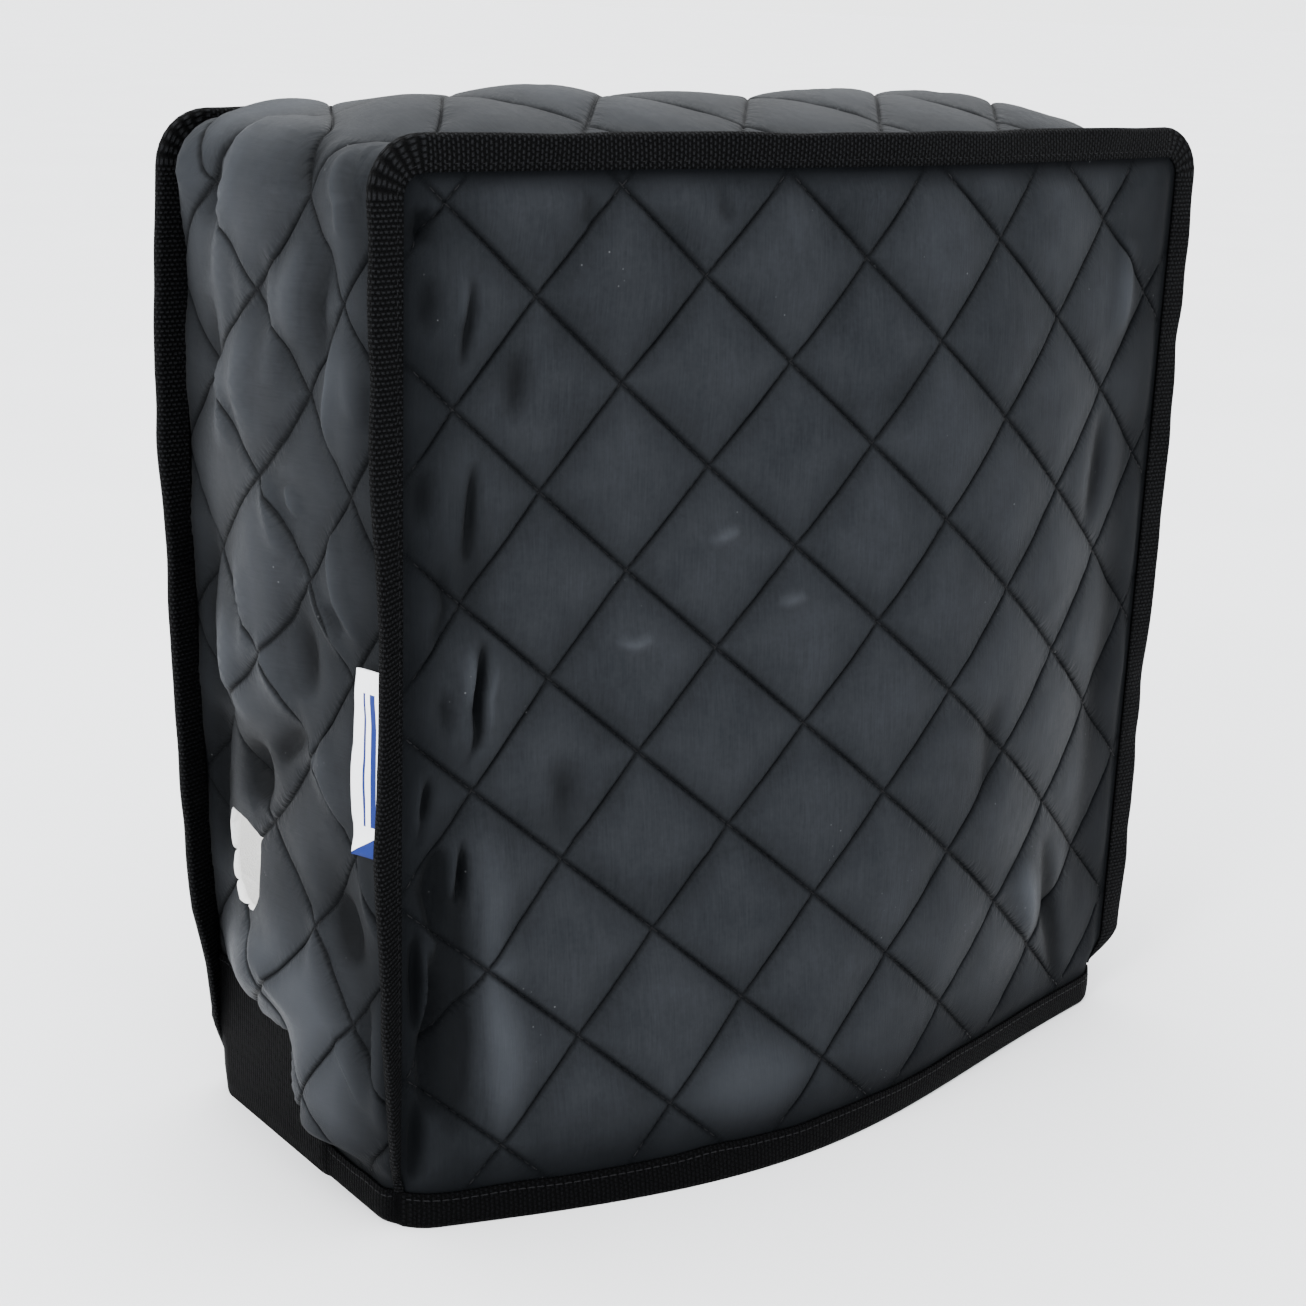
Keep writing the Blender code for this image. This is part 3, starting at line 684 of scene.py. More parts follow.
def panel_flat(crossing, turn, gain, creases):
    """Flat panel in x and height, cut to the seam line, with its allowance."""
    sheet = quilt_mesh((0, 0), (WIDTH, HEIGHT), crossing, turn, gain)
    refine(sheet, [([spot[::-1] for spot in line], *rest) for line, *rest in creases])
    slice_sheet(sheet, (0, CLOTH_FOOT), (0, -1), trim=True)
    slice_sheet(sheet, (0, 0), (-1, 0), trim=True)
    slice_sheet(sheet, (WIDTH, 0), (1, 0), trim=True)
    slice_sheet(sheet, (0, HEIGHT), (0, 1), trim=True)
    cuts = 5
    chord = SEAM_CORNER * math.cos(math.pi / 4 / cuts)
    for cut in range(cuts):
        angle = math.pi / 2 * (cut + 0.5) / cuts
        for centre, way in ((SEAM_CORNER, -1), (WIDTH - SEAM_CORNER, 1)):
            normal = (way * math.cos(angle), math.sin(angle))
            point = (centre + chord * normal[0], SIDE_RUN + chord * normal[1])
            slice_sheet(sheet, point, normal, trim=True)
    bind_rim(sheet, lambda edge: all(vert.co.y < CLOTH_FOOT + 1e-6 for vert in edge.verts))
    return sheet


def panel_skins(seam_y, way, crossing, turn, folds, creases, gain, seed):
    """Skin function of a panel: way is -1 for the front, which faces -y, 1 for the back."""

    def skins(flat):
        x, z, rim = flat[:, 0], flat[:, 1], flat[:, 2]
        centre_x = np.clip(x, SEAM_CORNER, WIDTH - SEAM_CORNER)
        away = np.stack([x - centre_x, np.maximum(0, z - SIDE_RUN)], 1)
        length = np.linalg.norm(away, axis=1)
        away = np.where(length[:, None] < 1e-9, (0.0, 1.0), away / np.maximum(length, 1e-9)[:, None])
        reach = rim * allowance(z, x)
        above = z - HEM_MARGIN
        calm = ease(seam_distance(x, z) / PANEL_CALM) * ease(above / HEM_CALM) * (1 - rim)
        lattice = lattice_of(runs_of(flat[:, :2], gain), crossing, turn)
        relief = quilt_relief(lattice, seed) * calm
        fold = fold_lift(folds, z, x) * calm
        near = np.maximum(seam_distance(x, z), 0)
        edge = ease(near / PANEL_EDGE) * ease(above / HEM_EDGE) * (1 - rim)
        fold = fold + crease_lift(creases, z, x) * edge
        from_side = np.minimum(x, WIDTH - x)
        fold = fold + seam_puckers(from_side, z + 0.5 * (x > WIDTH / 2), seed) * edge
        fold = fold + seam_puckers(np.maximum(HEIGHT - z, 0), x, seed + 3) * edge
        fold = fold + seam_puckers(np.maximum(z - HEM, 0), x, seed + 5) * edge
        middle = seam_y + way * PLY
        outer = middle + way * (CLOTH / 2 + relief + fold)
        inner = middle - way * (CLOTH / 2 + PUFF_IN * relief / PUFF - fold)
        new_x, new_z = x + away[:, 0] * reach, z + away[:, 1] * reach
        return np.stack([new_x, outer, new_z], 1), np.stack([new_x, inner, new_z], 1)

    return skins


# Gusset

def crown(along, back):
    left = 1 - ease((along - SIDE_RUN) / CROWN_EASE)
    right = 1 - ease((STRIP - along - SIDE_RUN) / CROWN_EASE)
    height = CROWN_LEFT * left + CROWN_RIGHT * right + CROWN_TOP * (1 - left - right)
    return height * np.sin(math.pi * np.clip(back / DEPTH, 0, 1)) ** 1.5


def gusset_lift(along, back, folds, seed):
    """Lift of the gusset off the straight seam box, without and with its padding."""
    near = np.minimum(back, DEPTH - back)
    above = strip_height(along) - HEM_MARGIN
    calm = ease(near / GUSSET_CALM) * ease(above / HEM_CALM)
    edge = ease(near / GUSSET_EDGE) * ease(above / HEM_EDGE)
    lattice = lattice_of(runs_of(np.stack([along, back], 1), gusset_gain), *GUSSET_QUILTING)
    lift = (crown(along, back) + fold_lift(folds, along, back)) * calm
    lift = lift + crease_lift(side_lines, along, back) * edge
    for away, seam_seed in ((back, seed), (DEPTH - back, seed + 7)):
        lift = lift + seam_puckers(np.maximum(away, 0), along, seam_seed) * edge
    free = ease((along - hem_height(0 * along, back) + 0.002) / 0.006)
    return lift * free, quilt_relief(lattice, seed) * calm * free


def gusset_skins(folds, seed):
    def skins(flat):
        along, back, rim = flat.T
        x, z, out_x, out_z = seam_place(along)
        lift, relief = gusset_lift(along, back, folds, seed)
        outer = lift + CLOTH / 2 + relief
        inner = lift - CLOTH / 2 - PUFF_IN * relief / PUFF
        outer_y, inner_y = back.copy(), back.copy()

        # At a seam the cloth turns outward, beside the panel's allowance
        reach = allowance(strip_height(along), x)
        for at_seam, way in ((back < PLY + 1e-6, 1), (back > DEPTH - PLY - 1e-6, -1)):
            outer = np.where(at_seam, np.where(rim > 0, reach, CLOTH / 2), outer)
            inner = np.where(at_seam, np.where(rim > 0, reach, -CLOTH / 2), inner)
            outer_y = outer_y + at_seam * way * CLOTH / 2
            inner_y = inner_y - at_seam * way * CLOTH / 2
        return (
            np.stack([x + out_x * outer, outer_y, z + out_z * outer], 1),
            np.stack([x + out_x * inner, inner_y, z + out_z * inner], 1),
        )

    return skins


def hole_outline():
    """Worn, ragged round rectangle, as points along and across the strip."""
    random = np.random.default_rng(8)
    count = 26
    angle = 2 * math.pi * (np.arange(count) + 0.5) / count
    unit = np.stack([np.sin(angle), np.cos(angle)], 1)
    square = np.sign(unit) * np.abs(unit) ** 0.75
    return HOLE + HOLE_HALF * square * random.uniform(0.96, 1.03, (count, 1))


def cut_hole(sheet):
    outline = hole_outline()
    count = len(outline)
    reach = np.linalg.norm(outline - HOLE, axis=1).max() * 1.1
    for index in range(count):
        point, following = outline[index], outline[(index + 1) % count]
        edge = following - point
        normal = np.array([edge[1], -edge[0]]) / np.linalg.norm(edge)
        near = []
        for face in sheet.faces:
            if (face.calc_center_median().xy - Vector(HOLE)).length < reach + 0.003:
                near.append(face)
        slice_sheet(sheet, point, normal, near=near)
    inside = []
    for face in sheet.faces:
        spot = np.array(face.calc_center_median().xy)
        if np.linalg.norm(spot - HOLE) > reach:
            continue
        crossings = 0
        for index in range(count):
            (up_a, back_a), (up_b, back_b) = outline[index], outline[(index + 1) % count]
            if (back_a > spot[1]) != (back_b > spot[1]):
                share = (spot[1] - back_a) / (back_b - back_a)
                crossings += spot[0] < up_a + share * (up_b - up_a)
        if crossings % 2:
            inside.append(face)
    bmesh.ops.delete(sheet, geom=inside, context="FACES")


def gusset_flat():
    """Flat gusset strip: x runs along it, y from the front seam to the back."""
    low, high = PLY, DEPTH - PLY
    sheet = quilt_mesh((0, 0), (STRIP, DEPTH), *GUSSET_QUILTING, gusset_gain)
    refine(sheet, SIDE_CREASES)
    slice_sheet(sheet, (CLOTH_FOOT, 0), (-1, 0), trim=True)
    slice_sheet(sheet, (STRIP - CLOTH_FOOT, 0), (1, 0), trim=True)
    slice_sheet(sheet, (0, low), (0, -1), trim=True)
    slice_sheet(sheet, (0, high), (0, 1), trim=True)
    cut_hole(sheet)

    def skip(edge):
        middle = (edge.verts[0].co.y + edge.verts[1].co.y) / 2
        return low + 1e-6 < middle < high - 1e-6

    bind_rim(sheet, skip)
    return sheet


# Sewing thread

def stitch_tubes(name, starts, ends, outer_at, radius, material):
    """Short stitches that dip into the cloth at both ends, along flat lines."""
    sides, rings = 5, 5
    share = np.linspace(0, 1, rings)
    flat = starts[:, None] + (ends - starts)[:, None] * share[None, :, None]
    spots = flat.reshape(-1, 2)
    step = 0.0004
    here = outer_at(spots)
    to_x = outer_at(spots + (step, 0)) - here
    to_y = outer_at(spots + (0, step)) - here
    normal = np.cross(to_x, to_y)
    normal /= np.maximum(np.linalg.norm(normal, axis=1, keepdims=True), 1e-12)
    here = here.reshape(-1, rings, 3)
    normal = normal.reshape(-1, rings, 3)
    run = here[:, -1] - here[:, 0]
    run /= np.linalg.norm(run, axis=1, keepdims=True)
    beside = np.cross(run[:, None, :], normal)
    rise = radius * (0.9 * np.sin(math.pi * share) - 0.5)
    centre = here + normal * rise[None, :, None]
    girth = radius * np.array([0.55, 1.0, 1.0, 1.0, 0.55])
    points = []
    for side in range(sides):
        angle = 2 * math.pi * side / sides
        offset = math.cos(angle) * beside + math.sin(angle) * normal
        points.append(centre + offset * girth[None, :, None])
    points = np.stack(points, axis=2)
    count = len(starts)
    base = np.arange(count)[:, None] * rings * sides
    faces = []
    for ring in range(rings - 1):
        for side in range(sides):
            beyond = (side + 1) % sides
            faces.append(np.stack([
                base[:, 0] + ring * sides + side, base[:, 0] + ring * sides + beyond,
                base[:, 0] + (ring + 1) * sides + beyond, base[:, 0] + (ring + 1) * sides + side,
            ], 1))
    quads = np.concatenate(faces).tolist()
    for end in (0, rings - 1):
        cap = base + end * sides + np.arange(sides)
        quads += (cap[:, ::-1] if end == 0 else cap).tolist()
    return dress(name, points.reshape(-1, 3), quads, [material])


def quilting_stitches(low, high, crossing, turn, keep):
    """Starts and ends of the stitches along every stitch line of a rectangle."""
    first, last = lattice_reach(low, high, crossing, turn)
    axes = stitch_axes(turn)
    starts, ends = [], []
    for axis in (0, 1):
        along = np.arange(first[1 - axis] * SIDE, last[1 - axis] * SIDE, STITCH) / SIDE
        for line in np.arange(first[axis], last[axis] + 1):
            for edges, shift in ((starts, 0.0), (ends, STITCH * STITCH_SHARE / SIDE)):
                lattice = np.empty((len(along), 2))
                lattice[:, axis] = line
                lattice[:, 1 - axis] = along + shift
                edges.append(lattice @ axes + np.array(crossing))
    starts, ends = np.concatenate(starts), np.concatenate(ends)
    kept = keep(starts) & keep(ends)
    return starts[kept], ends[kept]


# Tapes

def fin_sway(along, out, seed):
    """Sideways wander of a standing seam, most at its outer edge."""
    wave = 0.0011 * noise_1d(along / 0.034, seed) + 0.0006 * noise_1d(along / 0.013, seed + 5)
    return wave * ease(strip_height(along) / 0.06) * np.clip(out / TAPE_REACH, 0, 1) ** 1.5


def seam_tape(name, seam_y, seed, material):
    """Ribbed tape folded over one seam's allowances."""
    half, inside = TAPE_HALF, TAPE_HALF - TAPE
    foot, root, past, rounding, pitch = 0.0120, 0.0013, 0.0019, 0.62, 0.0016
    along = np.concatenate([
        np.arange(foot, SIDE_RUN, pitch),
        SIDE_RUN + CORNER_RUN * np.linspace(0, 1, 9),
        np.arange(SIDE_RUN + CORNER_RUN + pitch, STRIP - SIDE_RUN - CORNER_RUN - 0.0010, pitch),
        STRIP - SIDE_RUN - CORNER_RUN * np.linspace(1, 0, 9),
        np.arange(STRIP - SIDE_RUN + pitch, STRIP - foot, pitch),
    ])
    x, z, out_x, out_z = seam_place(along)
    reach = allowance(strip_height(along), x) + past
    reach = reach + 0.00035 * noise_1d(along / 0.021, seed + 9)

    # One section: share of the way out, and how far the face stands from the middle
    face = np.linspace(0, 1, 11)
    stitch = np.exp(-((face - 0.24) / 0.055) ** 2)
    lip = np.exp(-(face / 0.05) ** 2)
    deep = half + 0.00012 * np.sin(math.pi * face) - 0.00030 * stitch - 0.0002 * lip
    turn = np.linspace(0, math.pi, 7)[1:-1]
    sections = []
    for tall in reach:
        flat_end = tall - half * rounding
        outs = root + (flat_end - root) * face
        loop = [(out, -level) for out, level in zip(outs, deep)]
        loop += [(flat_end + half * rounding * math.sin(a), -half * math.cos(a)) for a in turn]
        loop += [(out, level) for out, level in zip(outs[::-1], deep[::-1])]
        tip = tall - TAPE
        loop += [(root, inside), (tip, inside), (tip, -inside), (root, -inside)]
        sections.append(loop)
    sections = np.array(sections)
    out, deep = sections[..., 0], sections[..., 1]
    points = np.stack([
        x[:, None] + out_x[:, None] * out,
        seam_y + deep + fin_sway(along[:, None], out, seed),
        z[:, None] + out_z[:, None] * out,
    ], -1)
    return sweep(name, sections, along, points, False, material)


def tape_stitches(name, seam_y, seed, material):
    """The row of stitches near the inner edge of each face of a seam tape."""
    foot, row, sunk = 0.060, 0.0036, 0.00028
    along = np.arange(foot, STRIP - foot, TAPE_STITCH)
    rows = np.full_like(along, row)
    starts = np.stack([along, rows], 1)
    ends = np.stack([along + TAPE_STITCH * TAPE_STITCH_SHARE, rows], 1)
    made = []
    for side, way in (("_front", -1), ("_rear", 1)):
        def face_at(spots, way=way):
            x, z, out_x, out_z = seam_place(spots[:, 0])
            out = spots[:, 1]
            level = seam_y + way * (TAPE_HALF - sunk) + fin_sway(spots[:, 0], out, seed)
            return settle(np.stack([x + out_x * out, level, z + out_z * out], 1))

        made.append(stitch_tubes(name + side, starts, ends, face_at, TAPE_THREAD, material))
    return made


def hem_path(step):
    """Walk round the foot: x, y, outward directions and the run, corners rounded later."""
    front, back = -PLY, DEPTH + PLY
    spots = []

    def leg(start, end, way):
        count = max(2, round(np.linalg.norm(np.subtract(end, start)) / step))
        for share in np.arange(count) / count:
            spots.append((*(np.array(start) + (np.array(end) - start) * share), *way))

    leg((0.0, front), (WIDTH, front), (0, -1))
    leg((WIDTH, front), (WIDTH, back), (1, 0))
    leg((WIDTH, back), (0.0, back), (0, 1))
    leg((0.0, back), (0.0, front), (-1, 0))
    return np.array(spots)


def hem_tape(name, material):
    """Tape folded round the foot."""
    path = hem_path(0.0022)
    x, y = path.T[:2]
    room = CLOTH / 2 + GAP
    wall = room + HEM_TAPE
    tall = hem_height(x, y)
    levels = np.linspace(0, 1, 9)
    sections = []
    for top in tall:
        bulge = 0.0004 * np.sin(math.pi * levels) + FLAP_LIFT * ease((top - 0.014) / 0.01)
        outer = [(wall + rise - HEM_BEVEL * (level < 0.01), level * top)
                 for level, rise in zip(levels, bulge)]
        sections.append(outer + [
            (room + bulge[-1], top), (room, HEM_TAPE), (-room, HEM_TAPE), (-room, HEM),
            (-wall, HEM), (-wall, HEM_BEVEL), (-wall + HEM_BEVEL, 0.0),
        ])
    sections = np.array(sections)
    out, z = sections[..., 0], sections[..., 1]

    # At a square corner both sides' offsets are kept, and settle() makes it round
    at_x = np.where(x < WIDTH / 2, -1, 1) * ((x < 1e-6) | (x > WIDTH - 1e-6))
    at_y = np.where(y < DEPTH / 2, -1, 1) * ((y < -PLY + 1e-6) | (y > DEPTH + PLY - 1e-6))
    points = np.stack([
        x[:, None] + at_x[:, None] * out, y[:, None] + at_y[:, None] * out, z,
    ], -1)
    run = np.concatenate([[0], np.cumsum(np.linalg.norm(np.diff(path[:, :2], axis=0), axis=1))])
    return sweep(name, sections, run, points, True, material)


def hem_stitches(name, material):
    path = hem_path(TAPE_STITCH)
    way_x = path[:, 2]
    wall = CLOTH / 2 + GAP + HEM_TAPE + 0.0002
    row = 0.0021

    def face_at(spots):
        share = spots[:, 0] % len(path)
        low = np.floor(share).astype(int) % len(path)
        high = (low + 1) % len(path)
        part = (share - np.floor(share))[:, None]
        spot = path[low, :2] * (1 - part) + path[high, :2] * part
        way = path[low, 2:]
        tall = hem_height(spot[:, 0], spot[:, 1]) - spots[:, 1]
        lifted = wall + FLAP_LIFT * ease((tall - 0.012) / 0.01)
        points = np.column_stack([spot + way * lifted[:, None], tall])
        return settle(points)

    index = np.arange(len(path)).astype(float)
    keep = np.abs(way_x - np.roll(way_x, -1)) < 0.5
    index = index[keep]
    starts = np.stack([index, np.full_like(index, row)], 1)
    ends = np.stack([index + TAPE_STITCH_SHARE, np.full_like(index, row)], 1)
    return stitch_tubes(name, starts, ends, face_at, TAPE_THREAD, material)


# Label

LABEL_FOOT = 0.1262
LABEL_TALL = 0.0590
LABEL_REACH = 0.0098
STRIPE_ENDS = (0.0095, 0.0520)
BROAD_STRIPE = (0.0042, 0.0056)
THIN_STRIPE = (0.0068, 0.0073)
BLUE_CORNER = 0.0105


def label_piece(name, material):
    """Folded satin label caught in the front left seam, standing a little off the side."""
    rows, columns = 60, 24
    thick = 0.0007
    start = CLOTH + TAPE + 3 * GAP
    up, share = np.meshgrid(np.linspace(0, 1, rows + 1), np.linspace(0, 1, columns + 1), indexing="ij")
    up, share = up.ravel(), share.ravel()
    along = LABEL_FOOT + LABEL_TALL * up
    back = start + LABEL_REACH * share
    lift, relief = gusset_lift(along, back, GUSSET_FOLDS, 31)
    smooth = CLOTH / 2 + PUFF * 0.8 + fold_lift(GUSSET_FOLDS, along, back) * 0.4
    level = np.maximum(lift + relief + CLOTH / 2 + 0.0006, smooth + crown(along, back))
    level = level + 0.0028 * share ** 1.6 + 0.0010 * share * np.sin(3.1 * up + 0.4)
    low_corner = ease((0.12 - up) / 0.12) * share
    level = level + 0.0012 * low_corner
    outer = np.stack([-level - thick, back, along], 1)
    inner = np.stack([-level, back, along], 1)
    index = np.arange(len(up)).reshape(rows + 1, columns + 1)
    quads = grid_quads(index).tolist()
    count = len(up)
    faces = [quad[::-1] for quad in quads]
    faces += [[corner + count for corner in quad] for quad in quads]
    ring = list(index[:, 0]) + list(index[-1, 1:]) + list(index[-2::-1, -1]) + list(index[0, -2:0:-1])
    ring = [int(corner) for corner in ring]
    for first, second in zip(ring, ring[1:] + ring[:1]):
        faces.append([first, second, second + count, first + count])
    points = settle(np.concatenate([outer, inner]))
    flat = np.stack([up * LABEL_TALL, share * LABEL_REACH], 1)
    maps = [("flat cloth", np.concatenate([flat, flat]))]
    return dress(name, points, faces, [material], None, maps)


# Materials

class Nodes:
    """Short way to add nodes to a tree and join them up."""

    def __init__(self, tree):
        self.tree = tree

    def add(self, kind, **values):
        node = self.tree.nodes.new("ShaderNode" + kind)
        for name, value in values.items():
            setattr(node, name, value)
        return node

    def put(self, socket, value):
        if isinstance(value, bpy.types.NodeSocket):
            self.tree.links.new(value, socket)
        else:
            socket.default_value = value

    def math(self, operation, first, second=0.0, third=0.0):
        node = self.add("Math", operation=operation)
        for socket, value in zip(node.inputs, (first, second, third)):
            self.put(socket, value)
        return node.outputs[0]

    def times(self, first, second):
        return self.math("MULTIPLY", first, second)

    def split(self, vector):
        """X, Y and Z of a vector."""
        node = self.add("SeparateXYZ")
        self.put(node.inputs[0], vector)
        return node.outputs

    def stretched(self, vector, factors):
        node = self.add("VectorMath", operation="MULTIPLY")
        self.put(node.inputs[0], vector)
        node.inputs[1].default_value = factors
        return node.outputs[0]

    def noise(self, vector, scale, detail=2.0, roughness=0.5):
        node = self.add("TexNoise")
        self.put(node.inputs["Vector"], vector)
        self.put(node.inputs["Scale"], scale)
        node.inputs["Detail"].default_value = detail
        node.inputs["Roughness"].default_value = roughness
        return node.outputs["Fac"]

    def blend(self, share, first, second):
        node = self.add("Mix", data_type="RGBA")
        self.put(node.inputs["Factor"], share)
        for name, colour in (("A", first), ("B", second)):
            socket = [s for s in node.inputs if s.name == name and s.type == "RGBA"][0]
            self.put(socket, (*colour, 1) if isinstance(colour, tuple) else colour)
        return [s for s in node.outputs if s.type == "RGBA"][0]

    def ranged(self, value, low, high, to_low=0.0, to_high=1.0):
        node = self.add("MapRange")
        self.put(node.inputs["Value"], value)
        limits = {"From Min": low, "From Max": high, "To Min": to_low, "To Max": to_high}
        for name, number in limits.items():
            self.put(node.inputs[name], number)
        return node.outputs["Result"]


def shared_effect(name, inputs, outputs, fill):
    """Node group with named float or vector inputs and float outputs."""
    group = bpy.data.node_groups.new(name, "ShaderNodeTree")
    for label, kind, default in inputs:
        socket = group.interface.new_socket(label, in_out="INPUT", socket_type="NodeSocket" + kind)
        if kind == "Float":
            socket.default_value = default
    for label in outputs:
        group.interface.new_socket(label, in_out="OUTPUT", socket_type="NodeSocketFloat")
    nodes = Nodes(group)
    source = group.nodes.new("NodeGroupInput")
    target = group.nodes.new("NodeGroupOutput")
    made = fill(nodes, source.outputs)
    for label, value in made.items():
        nodes.put(target.inputs[label], value)
    return group


def fill_weave(nodes, given):
    """Plain weave from two crossed rows of threads."""
    split = nodes.split(given["Vector"])
    wobble = nodes.math("MULTIPLY", nodes.noise(given["Vector"], 900.0, 1.0), 0.6)
    turns = []
    for axis in ("X", "Y"):
        share = nodes.math("DIVIDE", split[axis], given["Pitch"])
        angle = nodes.math("MULTIPLY_ADD", share, 2 * math.pi, wobble)
        turns.append(nodes.math("SINE", angle))
    height = nodes.math("MULTIPLY_ADD", nodes.times(turns[0], turns[1]), 0.5, 0.5)
    drawn = nodes.stretched(given["Vector"], (1600.0, 70.0, 1.0))
    streak = nodes.ranged(nodes.noise(drawn, 1.0, 2.0, 0.6), 0.3, 0.7)
    return {"Height": height, "Streak": streak}


def fill_stitch_line(nodes, given):
    """Dark line under the thread, of flattened cloth and painted shade of its groove; the fine puckers
    across it; and a broad painted shade that deepens towards the stitching.
    """
    split = nodes.split(given["Vector"])
    line, pucker, dip = None, None, None
    for axis, stretch, breadth in (("X", (7.0, 19.0, 1.0), 0.0019), ("Y", (19.0, 7.0, 1.0), 0.0013)):
        away = nodes.math("PINGPONG", split[axis], 0.5)
        away = nodes.times(away, SIDE)
        # Dark line: flattened cloth, and painted shade of the thread's groove
        pressed_line_and_shade = nodes.ranged(away, breadth, 0.0003)
        rows = nodes.noise(nodes.stretched(given["Vector"], stretch), 1.0, 2.0, 0.6)
        close = nodes.ranged(away, 0.0075, 0.0)
        rows = nodes.math("MULTIPLY", rows, nodes.math("POWER", close, 2.0))
        # Broad painted shade that deepens towards the stitch lines
        painted_hollow_shade = nodes.math("POWER", nodes.ranged(away, 0.0130, 0.0), 1.6)
        line = pressed_line_and_shade if line is None else nodes.math("MAXIMUM", line, pressed_line_and_shade)
        pucker = rows if pucker is None else nodes.math("ADD", pucker, rows)
        dip = painted_hollow_shade if dip is None else nodes.math("MAXIMUM", dip, painted_hollow_shade)
    square = nodes.add("VectorMath", operation="FLOOR")
    nodes.put(square.inputs[0], given["Vector"])
    chance = nodes.add("TexWhiteNoise", noise_dimensions="2D")
    nodes.put(chance.inputs["Vector"], square.outputs[0])
    return {"Line": line, "Pucker": pucker, "Dip": dip, "Patch": chance.outputs["Value"]}


def fill_seam_shade(nodes, given):
    """Soft darker margin beside the seams and the hem."""
    split = nodes.split(given["Vector"])
    shade = None
    for axis in ("X", "Y"):
        away = nodes.math("DIVIDE", split[axis], given["Reach"])
        close = nodes.math("POWER", nodes.ranged(away, 1.0, 0.0), 1.5)
        shade = close if shade is None else nodes.math("MAXIMUM", shade, close)
    return {"Shade": shade}


def fill_mottle(nodes, given):
    """Soft cloudy change of tone, and fine grain."""
    cloud = nodes.noise(given["Vector"], nodes.math("DIVIDE", 1.0, given["Size"]), 3.0, 0.55)
    grain = nodes.noise(given["Vector"], nodes.math("DIVIDE", 14.0, given["Size"]), 2.0, 0.6)
    return {"Cloud": nodes.ranged(cloud, 0.30, 0.70), "Grain": nodes.ranged(grain, 0.25, 0.75)}


def fill_lint(nodes, given):
    """Sparse pale specks of lint and dust."""
    cells = nodes.add("TexVoronoi", feature="F1")
    nodes.put(cells.inputs["Vector"], given["Vector"])
    cells.inputs["Scale"].default_value = 260.0
    keep = nodes.noise(given["Vector"], 37.0, 2.0)
    speck = nodes.ranged(cells.outputs["Distance"], 0.10, 0.04)
    rare = nodes.ranged(keep, 0.60, 0.68)
    return {"Mask": nodes.math("MULTIPLY", nodes.math("MULTIPLY", speck, rare), given["Amount"])}


def fill_ribs(nodes, given):
    """Cross ribs of a woven tape, each a row of short raised knots."""
    split = nodes.split(given["Vector"])
    wander = nodes.math("MULTIPLY", nodes.noise(given["Vector"], 380.0, 2.0), 0.5)
    along = nodes.math("ADD", nodes.math("DIVIDE", split["X"], given["Pitch"]), wander)
    row = nodes.math("FLOOR", along)
    across = nodes.math("DIVIDE", split["Y"], nodes.times(given["Pitch"], 1.15))
    across = nodes.math("ADD", nodes.math("MULTIPLY_ADD", row, 0.5, across), wander)
    rib = nodes.math("PINGPONG", along, 0.5)
    knot = nodes.math("PINGPONG", across, 0.5)
    rib = nodes.ranged(rib, 0.04, 0.34)
    knot = nodes.ranged(knot, 0.0, 0.26, 0.25, 1.0)
    return {"Height": nodes.times(rib, knot)}


VECTOR = ("Vector", "Vector", None)
WEAVE = shared_effect(
    "plain weave", (VECTOR, ("Pitch", "Float", 0.0004)), ("Height", "Streak"), fill_weave
)
STITCH_LINE = shared_effect(
    "stitch line", (VECTOR,), ("Line", "Pucker", "Dip", "Patch"), fill_stitch_line
)
SEAM_SHADE = shared_effect(
    "seam shade", (VECTOR, ("Reach", "Float", 0.02)), ("Shade",), fill_seam_shade
)
MOTTLE = shared_effect("mottled tone", (VECTOR, ("Size", "Float", 0.02)), ("Cloud", "Grain"), fill_mottle)
LINT = shared_effect("lint specks", (VECTOR, ("Amount", "Float", 1.0)), ("Mask",), fill_lint)
RIBS = shared_effect("tape ribs", (VECTOR, ("Pitch", "Float", 0.0016)), ("Height",), fill_ribs)


class Finish:
    """A material with its Principled shader, flat-cloth map and object coordinates."""

    def __init__(self, name):
        self.material = bpy.data.materials.new(name)
        self.material.use_nodes = True
        self.nodes = Nodes(self.material.node_tree)
        self.shader = self.material.node_tree.nodes["Principled BSDF"]
        self.flat = self.nodes.add("UVMap", uv_map="flat cloth").outputs["UV"]
        self.place = self.nodes.add("TexCoord").outputs["Object"]

    def effect(self, group, vector, **values):
        node = self.nodes.add("Group")
        node.node_tree = group
        self.nodes.put(node.inputs["Vector"], vector)
        for name, value in values.items():
            node.inputs[name].default_value = value
        return node.outputs

    def set(self, **values):
        for name, value in values.items():
            self.shader.inputs[name.replace("_", " ")].default_value = value

    def feed(self, name, value):
        self.nodes.put(self.shader.inputs[name], value)

    def bump(self, *layers):
        """Heights in metres, finest last, stacked in one chain of Bump nodes."""
        normal = None
        for height, distance in layers:
            node = self.nodes.add("Bump")
            node.inputs["Strength"].default_value = 1.0
            node.inputs["Distance"].default_value = distance
            self.nodes.put(node.inputs["Height"], height)
            if normal is not None:
                self.nodes.put(node.inputs["Normal"], normal)
            normal = node.outputs["Normal"]
        self.feed("Normal", normal)


